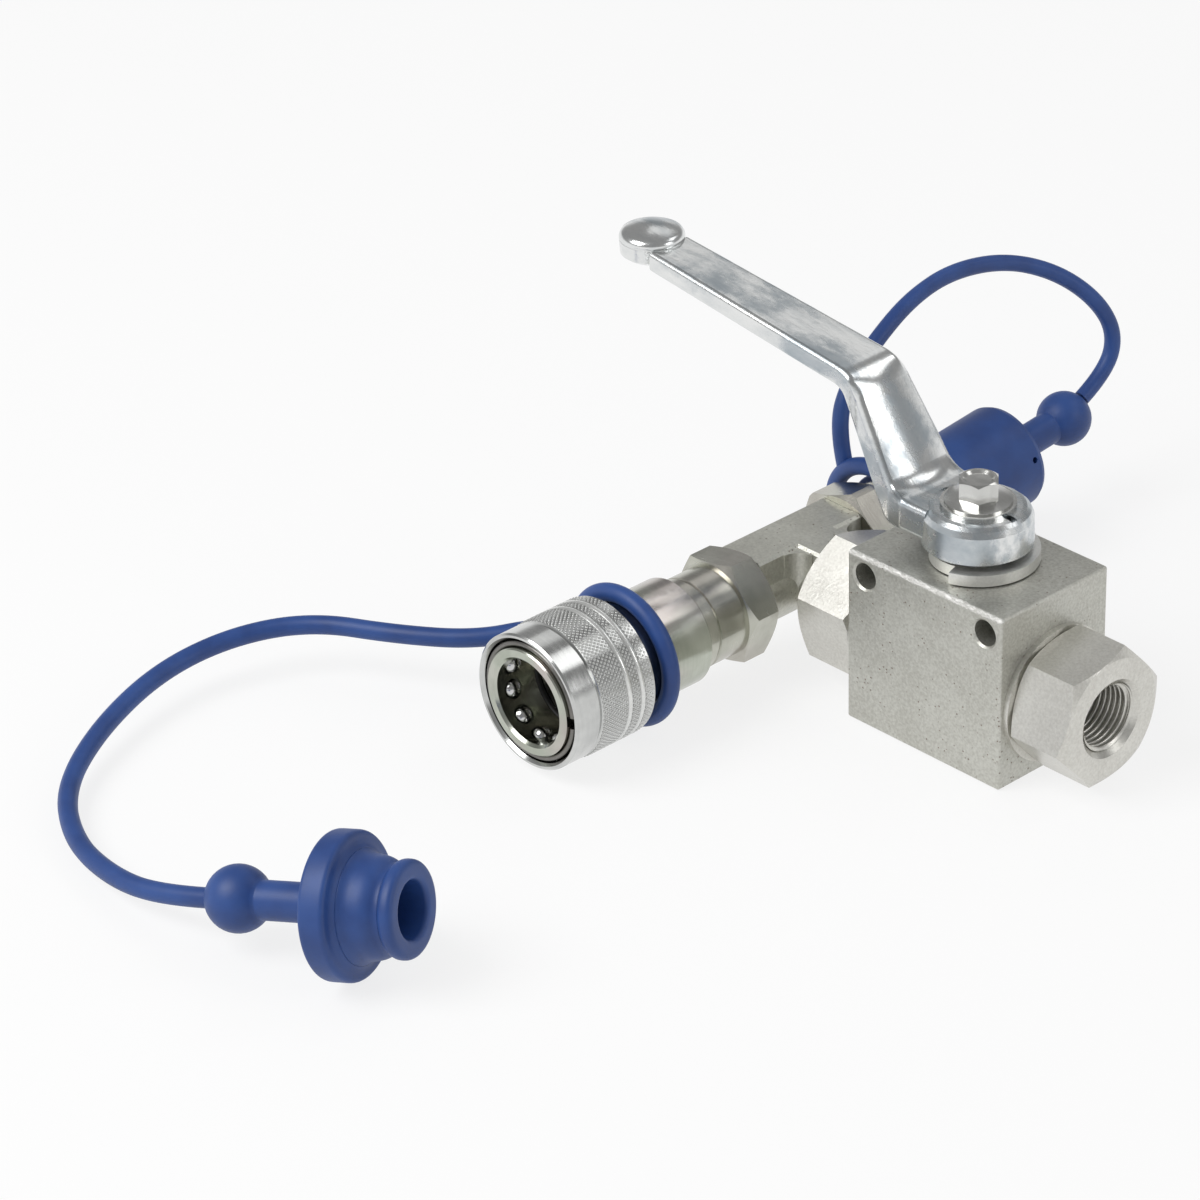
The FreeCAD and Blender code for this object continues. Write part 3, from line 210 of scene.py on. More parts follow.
def lathe(name, outline, place, way, segments=96):
    """Spin an outline in millimetres round an axis. It starts and ends on the axis."""
    turn = Vector((0, 0, 1)).rotation_difference(Vector(way))
    mesh = bmesh.new()
    rings = []
    for radius, station in rounded(outline):
        ring = []
        for index in range(segments if radius > ON_AXIS else 1):
            angle = 2 * math.pi * index / segments
            spot = Vector((radius * math.cos(angle), radius * math.sin(angle), station))
            ring.append(mesh.verts.new((Vector(place) + turn @ spot) * MM))
        rings.append(ring)
    for low, high in zip(rings, rings[1:]):
        for index in range(segments):
            ahead = (index + 1) % segments
            corners = [low[index % len(low)], low[ahead % len(low)],
                       high[ahead % len(high)], high[index % len(high)]]
            mesh.faces.new(list(dict.fromkeys(corners)))
    bmesh.ops.recalc_face_normals(mesh, faces=mesh.faces)
    for face in mesh.faces:
        face.smooth = True
    data = bpy.data.meshes.new(name)
    mesh.to_mesh(data)
    mesh.free()
    print(name, "faces:", len(data.polygons))
    return placed(name, data)


# %% [markdown]
# Both outlines are in millimetres, as radius, station along the axis and
# rounding. The plug's begins at the ball end of its bead, where the strap
# enters, and closes in its recess. The dome is a parabola on a short rim.

# %% Turn the plug and the lever's round end
PLUG_SPOT = (-22.6, -152.7, 15.1)
PLUG_AZIMUTH = math.radians(22.4)
PLUG_PITCH = math.radians(10.1)
PLUG_WAY = (
    math.cos(PLUG_PITCH) * math.cos(PLUG_AZIMUTH),
    math.cos(PLUG_PITCH) * math.sin(PLUG_AZIMUTH),
    math.sin(PLUG_PITCH),
)
BEAD_RADIUS = 6.85
BEAD_STATION = -24.3
BEAD = [
    (max(0.0, BEAD_RADIUS * math.cos(angle)), BEAD_STATION + BEAD_RADIUS * math.sin(angle), 0)
    for angle in map(math.radians, range(-90, 55, 8))
]
NECK = [(4.0, -18.5, 0.2), (4.0, -2.95, 1.0)]
FLANGE = [(14.85, -2.95, 1.1), (14.85, 2.75, 1.2), (12.2, 2.95, 1.2)]
BARREL = [(10.6, 4.6, 1.4), (10.1, 8.6, 1.4), (8.6, 10.6, 0.9), (8.7, 11.4, 0.4)]
LIP = [(9.8, 11.5, 1.4), (9.8, 14.65, 1.5), (5.8, 14.65, 1.1)]
RECESS = [(5.6, 11.0, 0.8), (5.6, 2.45, 0.8), (0, 2.45, 0)]

LEVER_END = (-95.4, 0, 0)
DOME_FOOT = 80.9
DOME_TOP = 84.2
DOME_FALL = 0.032
RIM = [(0, DOME_FOOT, 0), (6.9, DOME_FOOT, 0), (7.11, 81.0, 0), (7.11, 82.0, 0.5)]
CROWN = [
    (radius, DOME_TOP - DOME_FALL * radius ** 2, 0)
    for radius in (6.5, 5.8, 5.0, 4.2, 3.4, 2.6, 1.8, 0.9, 0.0)
]

plug_body = lathe("plug_body", BEAD + NECK + FLANGE + BARREL + LIP + RECESS, PLUG_SPOT, PLUG_WAY)
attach(plug_body, "frame")
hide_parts("dust_plug")
lever_dome = lathe("lever_dome", RIM + CROWN, LEVER_END, (0, 0, 1))
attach(lever_dome, "lever_set")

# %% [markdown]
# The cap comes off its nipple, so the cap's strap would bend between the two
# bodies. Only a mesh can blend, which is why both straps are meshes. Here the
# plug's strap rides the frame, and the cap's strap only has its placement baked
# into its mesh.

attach(plug_strap, "frame")
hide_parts("plug_cord")
line_length(plug_line)

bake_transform(cap_strap)
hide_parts("cap_cord")
line_length(cap_line)

# %% [markdown]
# ## Springs
# Three springs stand between a fixed piece and a sliding one. Each is copied
# into a mesh of its own that rides the frame, and its CAD node is hidden. A
# CAD mesh is loose triangles, so the copy's doubles are merged first.

# %% Copy the springs onto the frame
SAME_SPOT = 1e-7
# node, joint, fixed end, free end and travel
SPRINGS = [
    ("sleeve_spring", "sleeve_slide", -59.25 * MM, -70.4 * MM, 2.8 * MM),
    ("coupler_spring", "coupler_poppet_slide", -46.4 * MM, -55.2 * MM, 5.0 * MM),
    ("nipple_spring", "nipple_poppet_slide", 28.0 * MM, 37.8 * MM, 5.0 * MM),
]
springs = []
for node, joint, fixed_end, free_end, travel in SPRINGS:
    copied = bmesh.new()
    copied.from_mesh(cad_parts[node].data)
    bmesh.ops.remove_doubles(copied, verts=copied.verts, dist=SAME_SPOT)
    wire = bpy.data.meshes.new(node + "_coils")
    copied.to_mesh(wire)
    copied.free()
    wire.materials.clear()
    spring = placed(node + "_coils", wire)
    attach(spring, "frame")
    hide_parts(node)
    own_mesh(spring)
    springs.append(spring)
    print(spring.name, "faces:", len(wire.polygons))

# %% [markdown]
# ## Arithmetic on nodes
# Materials and Geometry Nodes both do sums with Math nodes. Wiring each by
# hand hides the formula, so a signal here is a socket that understands + - * /
# and a board is a node tree that adds nodes by type, settings and inputs.


# %% Signals and boards
class Signal:
    """A socket that can be used in Python sums."""

    def __init__(self, board, socket):
        self.board = board
        self.socket = socket

    def math(self, operation, *others):
        """A Math node with this signal as its first value."""
        values = dict(enumerate((self, *others)))
        return self.board.add("ShaderNodeMath", {"operation": operation}, values)[0]

    def __add__(self, other):
        return self.math("ADD", other)

    def __radd__(self, other):
        return self.math("ADD", other)

    def __mul__(self, other):
        return self.math("MULTIPLY", other)

    def __rmul__(self, other):
        return self.math("MULTIPLY", other)

    def __sub__(self, other):
        return self.math("SUBTRACT", other)

    def __rsub__(self, other):
        return self.board.add("ShaderNodeMath", {"operation": "SUBTRACT"}, {0: other, 1: self})[0]

    def __truediv__(self, other):
        return self.math("DIVIDE", other)

    def __rtruediv__(self, other):
        return self.board.add("ShaderNodeMath", {"operation": "DIVIDE"}, {0: other, 1: self})[0]

    def limited(self, low, high):
        """0 below low, 1 above high and a smooth step between."""
        settings = {"interpolation_type": "SMOOTHSTEP"}
        values = {"Value": self, "From Min": low, "From Max": high}
        return self.board.add("ShaderNodeMapRange", settings, values)[0]

    def wave(self):
        """From 0 to 1 and back to 0 each time that the signal rises by 1."""
        return self.math("PINGPONG", 0.5) * 2


class Board:
    """A node tree with one way to add any node."""

    def __init__(self, tree):
        self.tree = tree

    def add(self, kind, settings=None, inputs=None):
        """Add a node, set it up, feed its sockets and return its outputs as signals."""
        node = self.tree.nodes.new(kind)
        for name, value in (settings or {}).items():
            setattr(node, name, value)
        for name, value in (inputs or {}).items():
            self.connect(node.inputs[name], value)
        return [Signal(self, socket) for socket in node.outputs]

    def connect(self, socket, value):
        """Link a signal to a socket, or set a plain value on it."""
        if isinstance(value, Signal):
            self.tree.links.new(value.socket, socket)
        else:
            socket.default_value = value


# %% [markdown]
# ## Paint
# Each finish is one material on Object coordinates, which sit still on a piece
# and survive an export. Noise at two or three scales does most of the work:
# patches of a centimetre vary the colour, grains of half a millimetre the gloss
# and the bump. Brushed or turned steel is noise stretched along one direction.

# %% The paint board
OBJECT_PLACE = 3
MIX_FACTOR, MIX_LOW, MIX_HIGH, MIX_RESULT = 0, 6, 7, 2


def from_screen(red, green, blue):
    """Screen colour, 0 to 255, as the linear colour that shaders use."""
    shares = [value / 255 for value in (red, green, blue)]
    linear = [share / 12.92 if share <= 0.04045 else ((share + 0.055) / 1.055) ** 2.4 for share in shares]
    return (*linear, 1.0)


class Paint(Board):
    """A material under construction."""

    def __init__(self, name, **surface):
        self.material = bpy.data.materials.new(name)
        self.material.use_nodes = True
        super().__init__(self.material.node_tree)
        self.surface = self.tree.nodes["Principled BSDF"]
        self.place = self.add("ShaderNodeTexCoord")[OBJECT_PLACE]
        self.set(**surface)

    def set(self, **sockets):
        """Set or link sockets of the surface, with _ for a space in their names."""
        for name, value in sockets.items():
            self.connect(self.surface.inputs[name.replace("_", " ")], value)

    def scaled(self, size, stretch=(1, 1, 1)):
        """The place on the piece, counted in sizes."""
        scale = Vector(stretch) / size
        return self.add("ShaderNodeMapping", None, {"Vector": self.place, "Scale": scale})[0]

    def noise(self, size, detail=3.0, stretch=(1, 1, 1), roughness=0.55):
        """Noise from 0 to 1 with patches of about a size, in metres."""
        return self.add("ShaderNodeTexNoise", None, {
            "Vector": self.scaled(size, stretch), "Scale": 1.0, "Detail": detail, "Roughness": roughness})[0]

    def specks(self, spacing, size):
        """1 inside small scattered pits, whose size is a share of their spacing."""
        cells = self.add("ShaderNodeTexVoronoi", None, {"Vector": self.scaled(spacing), "Scale": 1.0})
        return 1 - cells[0].limited(size * 0.5, size)

    def blend(self, factor, low, high):
        """A colour between two, by a factor."""
        colours = {MIX_FACTOR: factor, MIX_LOW: low, MIX_HIGH: high}
        return self.add("ShaderNodeMix", {"data_type": "RGBA"}, colours)[MIX_RESULT]

    def along(self):
        """The place on the piece as three signals, X, Y and Z."""
        return self.add("ShaderNodeSeparateXYZ", None, {0: self.place})

    def relief(self, height, depth):
        """Bump of a depth in metres."""
        bump = {"Height": height, "Strength": 1.0, "Distance": depth}
        self.set(Normal=self.add("ShaderNodeBump", None, bump)[0])


# %% [markdown]
# ## Zinc plate
# The block, tee and connectors are zinc plated steel, passivated a warm grey.
# Plate is matte but still metal: it dims where it is turned from the light.
# Broad noise gives the cloudy tone, fine noise the blasted grain, and a few
# specks stand for the pits that handling leaves. The forged tee also has scale.
# The block's top front edge is worn, and it is also painted lighter as a
# highlight: a mask of the distance from that edge, torn by noise, lightens the
# colour and dulls the metal.

# %% Grey plate
BLOCK_FRONT = -16.0 * MM
BLOCK_TOP = 40.0 * MM
WEAR_HIGHLIGHT_FULL = 0.6 * MM
WEAR_HIGHLIGHT_GONE = 1.1 * MM
WEAR_HIGHLIGHT_WANDER = 1.2 * MM
WORN_EDGE_HIGHLIGHT = from_screen(244, 243, 239)
PIT_BROWN = from_screen(104, 78, 60)
PLATE_METAL = 0.9


def worn_highlit_edge(paint, grit):
    """1 along the block's top front edge, where its wear and painted highlight go, with a wandering border.
    """
    along = paint.along()
    behind = (along[1] - BLOCK_FRONT).math("ABSOLUTE")
    below = (along[2] - BLOCK_TOP).math("ABSOLUTE")
    reach = behind.math("MAXIMUM", below) + (grit - 0.5) * WEAR_HIGHLIGHT_WANDER
    return 1 - reach.limited(WEAR_HIGHLIGHT_FULL, WEAR_HIGHLIGHT_GONE)


def grey_plate(name, light, dark, gloss, grain, contrast=0.8, dots=0.0, scale=0.0, worn_highlit=False):
    """Plated steel with clouds and grit, and where asked with pits, scale or an edge of wear with a painted
    highlight.
    """
    paint = Paint(name, Metallic=PLATE_METAL)
    clouds = paint.noise(14 * MM).limited(0.32, 0.72)
    grit = paint.noise(0.6 * MM)
    colour = paint.blend((clouds * 0.25 + (grit - 0.5) * contrast + 0.4).limited(0.0, 1.0), dark, light)
    height = grit
    rough = gloss - 0.06 + clouds * 0.08 + grit * 0.06
    if dots:
        pits = paint.specks(1.3 * MM, 0.2) * paint.noise(8 * MM, 2.0).limited(0.44, 0.56)
        colour = paint.blend(pits * dots, colour, PIT_BROWN)
        height = height - pits * 1.5
    if scale:
        height = height + paint.noise(2.2 * MM, roughness=0.6) * scale
    if worn_highlit:
        edge = worn_highlit_edge(paint, grit)
        torn = paint.noise(0.6 * MM, stretch=(0.6, 1.0, 1.0)).limited(0.3, 0.6)
        # Wear and a painted highlight: the edge's colour is lightened towards near white.
        colour = paint.blend(edge * (torn * 0.6 + 0.35), colour, WORN_EDGE_HIGHLIGHT)
        rough = rough + edge * 0.1
        paint.set(Metallic=PLATE_METAL - edge * 0.55)
        height = height + edge * torn * 3.0
    paint.set(Base_Color=colour, Roughness=rough)
    paint.relief(height, grain)
    print(name, "nodes:", len(paint.tree.nodes))
    return paint.material


block_plate = grey_plate(
    "block_plate", from_screen(208, 208, 201), from_screen(177, 176, 168), gloss=0.46, grain=0.07 * MM,
    contrast=1.4, dots=0.7, worn_highlit=True)
tee_plate = grey_plate(
    "tee_plate", from_screen(226, 226, 217), from_screen(182, 181, 172), gloss=0.42, grain=0.05 * MM,
    dots=0.6, scale=2.5)
nut_plate = grey_plate(
    "nut_plate", from_screen(226, 225, 219), from_screen(192, 190, 183), gloss=0.33, grain=0.02 * MM,
    contrast=0.9)
disc_plate = grey_plate(
    "disc_plate", from_screen(238, 238, 235), from_screen(214, 214, 210), gloss=0.42, grain=0.02 * MM)

# %% [markdown]
# ## Turned and bright parts
# Lathe work leaves rings round the axis, so its noise is stretched: long round
# the axis, short along it. The coupler, sleeve and nipple lie along Y, which
# makes fine steps in Y enough. A hint of colour is the passivation's film.

# %% Turned plate
RING_DEPTH = 0.006 * MM
FILM_GREEN = from_screen(182, 202, 178)
FILM_ROSE = from_screen(216, 184, 194)


def turned_plate(name, light, dark, gloss, ring=0.4 * MM, film=0.0):
    """Turned steel with fine rings along Y, and where asked a coloured film."""
    paint = Paint(name, Metallic=1.0)
    rings = paint.noise(ring, 2.0, (0.02, 1.0, 0.02))
    clouds = paint.noise(9 * MM).limited(0.3, 0.75)
    colour = paint.blend(rings * 0.4 + clouds * 0.6, dark, light)
    if film:
        hue = paint.noise(11 * MM, 1.0, (1.0, 0.5, 1.0)).limited(0.35, 0.7)
        colour = paint.blend(film, colour, paint.blend(hue, FILM_GREEN, FILM_ROSE))
    paint.set(Base_Color=colour, Roughness=gloss - 0.05 + rings * 0.07 + clouds * 0.05)
    paint.relief(rings, RING_DEPTH)
    print(name, "nodes:", len(paint.tree.nodes))
    return paint.material


body_plate = turned_plate(
    "body_plate", from_screen(206, 206, 198), from_screen(160, 160, 152), gloss=0.2, ring=0.5 * MM, film=0.2)
fitting_plate = turned_plate(
    "fitting_plate", from_screen(204, 203, 193), from_screen(168, 167, 158), gloss=0.24, ring=0.6 * MM,
    film=0.06)
sleeve_plate = turned_plate(
    "sleeve_plate", from_screen(222, 223, 221), from_screen(178, 179, 178), gloss=0.17)
bright_plate = turned_plate(
    "bright_plate", from_screen(232, 232, 229), from_screen(190, 190, 187), gloss=0.2, ring=0.8 * MM)
inner_steel = turned_plate(
    "inner_steel", from_screen(170, 170, 170), from_screen(130, 130, 130), gloss=0.3)

# %% [markdown]
# ## The lever's patchy zinc
# The lever is pressed, plated and barrelled. Its top has cloudy blue-grey
# patches with soft borders, its rounded edges are polished bright. The patches
# are two noises of high detail, and they tint both colour and gloss. The
# lever's slope is slightly crowned from side to side, which a bump stands for:
# it falls with the square of Y, so a lamp's reflection fades towards its edges.

# %% Lever zinc
SLOPE_MIDDLE = -21.5 * MM
SLOPE_HALF = 8.0 * MM
SLOPE_CROWN = 22.0
ZINC_PALE = from_screen(230, 231, 230)
ZINC_SLATE = from_screen(168, 177, 183)


def lever_zinc():
    """Patchy zinc with a crown on the lever's slope."""
    paint = Paint("lever_zinc", Metallic=1.0)
    broad = paint.noise(14 * MM, 5.0, (0.7, 1.2, 1.0), 0.66).limited(0.42, 0.58)
    streaks = paint.noise(3.5 * MM, 4.0, (0.25, 1.0, 0.6), 0.65).limited(0.35, 0.75)
    patches = broad * 0.65 + streaks * 0.35
    paint.set(Base_Color=paint.blend(patches, ZINC_PALE, ZINC_SLATE), Roughness=0.19 + patches * 0.15)
    along = paint.along()
    from_middle = (along[0] - SLOPE_MIDDLE).math("ABSOLUTE")
    on_slope = 1 - from_middle.limited(SLOPE_HALF * 0.6, SLOPE_HALF * 1.1)
    crown = along[1] * along[1] * on_slope * -SLOPE_CROWN
    grain = (paint.noise(0.6 * MM, 2.0) * 0.4 + streaks * 0.6) * (0.03 * MM)
    paint.relief(grain + crown, 1.0)
    print("lever_zinc nodes:", len(paint.tree.nodes))
    return paint.material


lever_finish = lever_zinc()

# %% [markdown]
# ## Blue elastomer
# Rings, straps, plug and cap are one soft plastic, evenly satin: light edges
# come from its gloss, not from paint. Very fine grain breaks the highlight up,
# as a spark eroded mould does.


# %% Elastomer
def elastomer():
    """Satin blue with a very fine grain."""
    paint = Paint("blue_elastomer", Metallic=0.0, Specular_IOR_Level=0.5)
    clouds = paint.noise(12 * MM).limited(0.3, 0.7)
    grain = paint.noise(0.35 * MM, 2.0)
    colour = paint.blend(clouds, from_screen(31, 62, 122), from_screen(40, 75, 140))
    paint.set(Base_Color=colour, Roughness=0.40 + grain * 0.12 + clouds * 0.04)
    paint.relief(grain, 0.012 * MM)
    print("blue_elastomer nodes:", len(paint.tree.nodes))
    return paint.material


blue = elastomer()

# %% [markdown]
# ## Small inner parts
# Steel balls and the valve's ball are polished, springs are dark wire, seals
# are black rubber and the seats are pale plastic. They show only through the
# port and the coupler's mouth, and still each gets its own grain.


# %% Inner finishes
def plain(name, light, dark, gloss, metallic):
    """A smooth finish with a slight grain in colour, gloss and bump."""
    paint = Paint(name, Metallic=metallic)
    spots = paint.noise(0.5 * MM)
    paint.set(Base_Color=paint.blend(spots, dark, light), Roughness=gloss - 0.04 + spots * 0.08)
    paint.relief(spots, 0.008 * MM)
    return paint.material


ball_polish = plain("ball_polish", from_screen(205, 205, 205), from_screen(190, 190, 190), 0.1, 1.0)
spring_wire = plain("spring_wire", from_screen(140, 138, 134), from_screen(105, 103, 100), 0.3, 1.0)
black_rubber = plain("black_rubber", from_screen(42, 42, 42), from_screen(28, 28, 28), 0.55, 0.0)
seat_plastic = plain("seat_plastic", from_screen(232, 231, 224), from_screen(220, 219, 211), 0.45, 0.0)

# %% [markdown]
# Every CAD node that stays gets its finish through its own material slots, and
# each piece made so far gets one slot of its own.

# %% Dress the nodes and the pieces
LOCK_BALLS = [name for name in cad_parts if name.startswith("lock_ball")]
FINISHES = [
    (block_plate, ["valve_block"]),
    (tee_plate, ["tee"]),
    (nut_plate, ["outlet_connector", "inlet_connector"]),
    (fitting_plate, ["coupler_adapter", "nipple_body"]),
    (body_plate, ["coupler_body"]),
    (sleeve_plate, ["coupler_sleeve"]),
    (bright_plate, ["lever_washer", "lever_bolt"]),
    (disc_plate, ["stop_disc"]),
    (lever_finish, ["lever"]),
    (inner_steel, ["stem", "stop_pin", "coupler_poppet", "coupler_guide", "nipple_poppet",
                   "nipple_guide"]),
    (ball_polish, ["valve_ball"] + LOCK_BALLS),
    (spring_wire, ["stem_clip", "nipple_clip", "sleeve_snap_ring"]),
    (black_rubber, ["outlet_seal", "inlet_seal", "stem_seal", "coupler_bore_seal"]),
    (seat_plastic, ["outlet_seat", "inlet_seat", "stem_thrust_washer"]),
    (blue, ["plug_ring", "cap_ring", "dust_cap"]),
]
for finish, names in FINISHES:
    for name in names:
        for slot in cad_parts[name].material_slots:
            slot.material = finish
for piece in (plug_strap, cap_strap, plug_body):
    piece.data.materials.append(blue)
lever_dome.data.materials.append(lever_finish)
for spring in springs:
    spring.data.materials.append(spring_wire)
print("nodes with a finish:", sum(len(names) for _, names in FINISHES))

# %% [markdown]
# ## Wrapped reliefs
# Knurl and thread are both a flat grid wrapped into a tube, with a radius that
# follows a formula in the angle and in the distance along the axis. Geometry
# Nodes suit this: the formula stays readable, its sizes are named inputs, and
# the result is one watertight skin. A stack of modelled cuts would need
# thousands of booleans.


# %% A tree that wraps a grid round an axis
class Wrap(Board):
    """Geometry Nodes that bend a grid into a tube about an axis along X or Y."""

    def __init__(self, name, sizes, around, along, outward):
        super().__init__(bpy.data.node_groups.new(name, "GeometryNodeTree"))
        sockets = self.tree.interface
        sockets.new_socket("Geometry", in_out="INPUT", socket_type="NodeSocketGeometry")
        sockets.new_socket("Geometry", in_out="OUTPUT", socket_type="NodeSocketGeometry")
        self.keys = {}
        for word in sizes:
            socket = sockets.new_socket(word, in_out="INPUT", socket_type="NodeSocketFloat")
            self.keys[word] = socket.identifier
        group = self.add("NodeGroupInput")
        self.size = {word: group[index + 1] for index, word in enumerate(sizes)}
        self.grid = self.add("GeometryNodeMeshGrid", None, {
            "Size X": 1.0, "Size Y": 1.0, "Vertices X": around + 1, "Vertices Y": along + 1})[0]
        place = self.add("ShaderNodeSeparateXYZ", None, {0: self.add("GeometryNodeInputPosition")[0]})
        self.turn = (place[0] + 0.5) * (1 if outward else -1)
        self.share = place[1] + 0.5
        self.station = self.size["Start"] + self.share * (self.size["End"] - self.size["Start"])

    def inner(self, rate):
        """1 along the skin's middle, falling to 0 at both of its ends."""
        return (self.share * (1 - self.share) * rate).math("MINIMUM", 1)

    def finish(self, radius, along, centre, axis, material):
        """Place the skin: radius and along are signals in metres."""
        angle = self.turn * (2 * math.pi)
        across, up = radius * angle.math("COSINE"), radius * angle.math("SINE")
        if axis == "Y":
            parts = {0: across + centre[0], 1: along, 2: up + centre[2]}
        else:
            parts = {0: along, 1: up + centre[1], 2: across + centre[2]}
        spot = self.add("ShaderNodeCombineXYZ", None, parts)[0]
        skin = self.grid
        for kind, values in (
            ("GeometryNodeSetPosition", {"Position": spot}),
            ("GeometryNodeMergeByDistance", {"Distance": SAME_SPOT}),
            ("GeometryNodeSetShadeSmooth", {"Shade Smooth": True}),
            ("GeometryNodeRealizeInstances", {}),
            ("GeometryNodeSetMaterial", {"Material": material}),
        ):
            skin = self.add(kind, None, {"Geometry": skin, **values})[0]
        self.add("NodeGroupOutput", None, {0: skin})


def grown(name, wrap, sizes, body):
    """Run a tree with its sizes and leave the result as a plain mesh on a body."""
    seed = placed(name + "_seed", bpy.data.meshes.new(name + "_seed"))
    modifier = seed.modifiers.new(name, "NODES")
    modifier.node_group = wrap.tree
    for word, value in sizes.items():
        modifier[wrap.keys[word]] = value
    bpy.context.view_layer.update()
    ready = seed.evaluated_get(bpy.context.evaluated_depsgraph_get())
    mesh = bpy.data.meshes.new_from_object(ready)
    bpy.data.objects.remove(seed)
    # A grid comes with an empty material slot in front of the one that the tree sets.
    mesh.materials.pop(index=0)
    piece = placed(name, mesh)
    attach(piece, body)
    print(name, "faces:", len(mesh.polygons), "finish:", mesh.materials[0].name)


# %% [markdown]
# ## The knurled sleeve
# The fingers pull the sleeve back, so its rear two thirds are knurled: two sets
# of slanted grooves that leave small pyramids. Each set is a ping-pong wave of
# angle plus or minus distance, and the lower of the two waves is the surface.
# Two smooth beads run through the band, where the knurl fades out. The grooves'
# feet get painted shade, darker than the pyramids' tops, which the distance from
# the axis tells.

# %% Build the knurl
KNURL = {
    "Radius": 15.02 * MM,
    "Start": 57.0 * MM,
    "End": 71.55 * MM,
    "Depth": 0.4 * MM,
    "Grooves": 92.0,
    "Pitch": 1.2 * MM,
    "First Bead": 60.3 * MM,
    "Second Bead": 63.9 * MM,
    "Bead Height": 0.4 * MM,
    "Bead Half Width": 0.85 * MM,
}
FACES_PER_GROOVE = 8
FACES_ALONG_KNURL = 126
KNURL_ENDS = 60


def knurl_plate():
    """The sleeve's plate, with painted shade at the foot of the knurl's grooves."""
    paint = Paint("knurl_plate", Metallic=0.75)
    along = paint.along()
    across, up = along[0] - TEE_X, along[2] - FLOW_HEIGHT
    radius = (across * across + up * up).math("SQRT")
    crest = (radius - KNURL["Radius"]).limited(0.0, KNURL["Depth"] * 0.8)
    spots = paint.noise(0.9 * MM)
    bright = paint.blend(spots, from_screen(212, 213, 211), from_screen(236, 237, 235))
    # Painted shade: the grooves' feet take a dark grey, the crests the plate's spotted colour.
    colour = paint.blend(crest, from_screen(120, 120, 118), bright)
    paint.set(Base_Color=colour, Roughness=0.38 - crest * 0.12)
    paint.relief(spots, RING_DEPTH)
    return paint.material


def knurl_tree(material):
    """Pyramids between two sets of slanted grooves, with two beads."""
    around = int(FACES_PER_GROOVE * KNURL["Grooves"])
    wrap = Wrap("knurl", KNURL, around, FACES_ALONG_KNURL, outward=True)
    size = wrap.size
    slant = wrap.station / size["Pitch"]
    waves = [(wrap.turn * size["Grooves"] + slant * way).wave() for way in (1, -1)]
    pyramids = waves[0].math("MINIMUM", waves[1])
    beads = 0
    for name in ("First Bead", "Second Bead"):
        gap = (wrap.station - size[name]).math("ABSOLUTE") / size["Bead Half Width"]
        beads = (1 - gap * gap).math("MAXIMUM", 0) + beads
    clear = 1 - beads.limited(0.0, 0.12)
    grooved = pyramids * clear * wrap.inner(KNURL_ENDS) * size["Depth"]
    radius = size["Radius"] + grooved + beads * size["Bead Height"]
    wrap.finish(radius, 0 - wrap.station, (TEE_X, 0, FLOW_HEIGHT), "Y", material)
    return wrap


grown("sleeve_knurl", knurl_tree(knurl_plate()), KNURL, "sleeve")

# %% [markdown]
# ## Pipe threads
# The open port shows its thread. One continuous helix is simpler than rings:
# the wave's phase is the distance along the axis plus one pitch for each turn.
# The thread fades out at both ends, so that it grows out of the plain bore.

# %% Cut the port's thread
PORT_THREAD = {
    "Wall": 7.46 * MM,
    "Depth": 0.82 * MM,
    "Pitch": 1.337 * MM,
    "Start": 26.2 * MM,
    "End": 36.6 * MM,
}
FACES_AROUND_THREAD = 120
FACES_ALONG_THREAD = 150
THREAD_ENDS = 16


def thread_tree(material):
    """One helix with flattened crests on the bore's wall."""
    wrap = Wrap("thread", PORT_THREAD, FACES_AROUND_THREAD, FACES_ALONG_THREAD, outward=False)
    size = wrap.size
    crest = (wrap.station / size["Pitch"] + wrap.turn).wave().limited(0.12, 0.88)
    radius = size["Wall"] - crest * wrap.inner(THREAD_ENDS) * size["Depth"]
    wrap.finish(radius, wrap.station, (0, 0, FLOW_HEIGHT), "X", material)
    return wrap


grown("port_thread", thread_tree(nut_plate), PORT_THREAD, "frame")

# %% [markdown]
# ## Studio
# The photograph is a cut-out on white. A pale floor keeps the object's shadow
# under side views, and large soft lamps give plated metal broad, gentle
# reflections. The floor glows a little for the camera and for reflections, so
# it looks white without brighter lamps. The world is white to the camera, and
# to mirrors it darkens with height, as a studio's ceiling does.

# %% Floor and world
CAMERA_RAY, GLOSSY_RAY, TRANSMISSION_RAY = 0, 3, 6
WHITE = (1.0, 1.0, 1.0, 1.0)
FLOOR_HALF = 4.0
FLOOR_DROP = 0.2 * MM
FLOOR_GLOW = 0.8
CEILING_FADE = 0.7
AMBIENT = 0.42


def background_rays(board):
    """1 for the camera's rays, and 1 for those with the rays of mirrors and glass."""
    rays = board.add("ShaderNodeLightPath")
    seen = (rays[CAMERA_RAY] + rays[GLOSSY_RAY] + rays[TRANSMISSION_RAY]).math("MINIMUM", 1)
    return rays[CAMERA_RAY], seen


def studio_floor():
    """Pale paint that glows a little where it is seen."""
    paint = Paint("floor_paint", Roughness=0.9, Base_Color=from_screen(238, 238, 238))
    _, seen = background_rays(paint)
    glow = paint.add("ShaderNodeEmission", None, {"Color": WHITE, "Strength": 1.0})[0]
    matte = Signal(paint, paint.surface.outputs[0])
    both = paint.add("ShaderNodeMixShader", None, {0: seen * FLOOR_GLOW, 1: matte, 2: glow})[0]
    output = next(node for node in paint.tree.nodes if node.type == "OUTPUT_MATERIAL")
    paint.connect(output.inputs[0], both)
    return paint.material


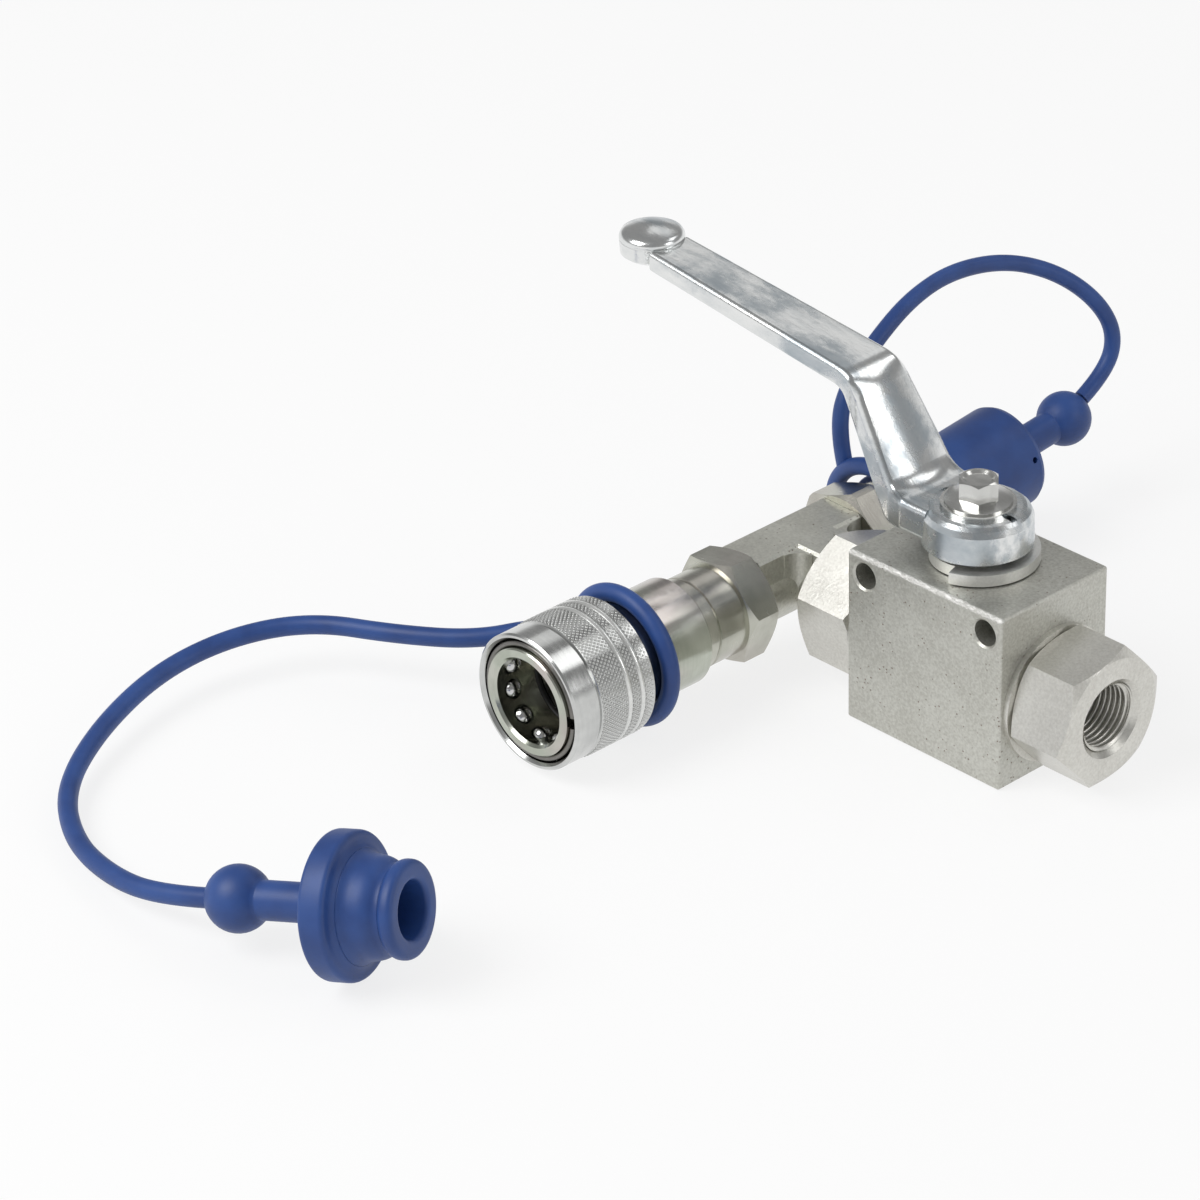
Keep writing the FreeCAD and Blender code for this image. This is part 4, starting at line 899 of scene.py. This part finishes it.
floor_mesh = bpy.data.meshes.new("floor")
corners = [(FLOOR_HALF * x, FLOOR_HALF * y, 0) for x, y in ((-1, -1), (1, -1), (1, 1), (-1, 1))]
floor_mesh.from_pydata(corners, [], [(0, 1, 2, 3)])
floor_mesh.materials.append(studio_floor())
floor = placed("floor", floor_mesh)
floor.location.z = -FLOOR_DROP

world = bpy.data.worlds.new("studio")
world.use_nodes = True
bpy.context.scene.world = world
sky = Board(world.node_tree)
camera_ray, seen = background_rays(sky)
direction = sky.add("ShaderNodeTexCoord")[0]
height = sky.add("ShaderNodeSeparateXYZ", None, {0: direction})[2]
mirrored = 1.0 - height.limited(0.02, 0.3) * CEILING_FADE
light = camera_ray + (1 - camera_ray) * (seen * mirrored + (1 - seen) * AMBIENT)
backdrop = world.node_tree.nodes["Background"]
sky.connect(backdrop.inputs["Color"], WHITE)
sky.connect(backdrop.inputs["Strength"], light)
print("floor:", 2 * FLOOR_HALF, "wide, world nodes:", len(world.node_tree.nodes))

# %% [markdown]
# Four area lamps. The key is broad and shines from above, left of the camera.
# The fill stands where the lever's slope mirrors it. A dim panel stands where
# the lever's top mirrors it, which keeps that face paler than the sides. A
# strip behind draws the bright line along the lever's and the straps' far edges.

# %% Lamps
AIM = Vector((-0.05, -0.04, 0.03))


def lamp(name, place, width, height, power):
    """A rectangular lamp that shines at the object. Power is in watts."""
    data = bpy.data.lights.new(name, "AREA")
    data.shape = "RECTANGLE"
    data.size = width
    data.size_y = height
    data.energy = power
    way = AIM - Vector(place)
    bulb = placed(name, data)
    bulb.matrix_world = Matrix.Translation(place) @ way.to_track_quat("-Z", "Y").to_matrix().to_4x4()
    print(name, "lamp:", power, "W at", round(way.length, 2), "m")


lamp("key", (-0.36, -0.84, 0.95), width=0.75, height=0.75, power=11.0)
lamp("fill", (0.888, 0.352, 0.567), width=0.42, height=0.42, power=1.6)
lamp("panel", (-0.578, 0.656, 0.846), width=0.4, height=0.4, power=0.3)
lamp("back", (0.30, 0.85, 1.15), width=0.7, height=0.4, power=1.5)
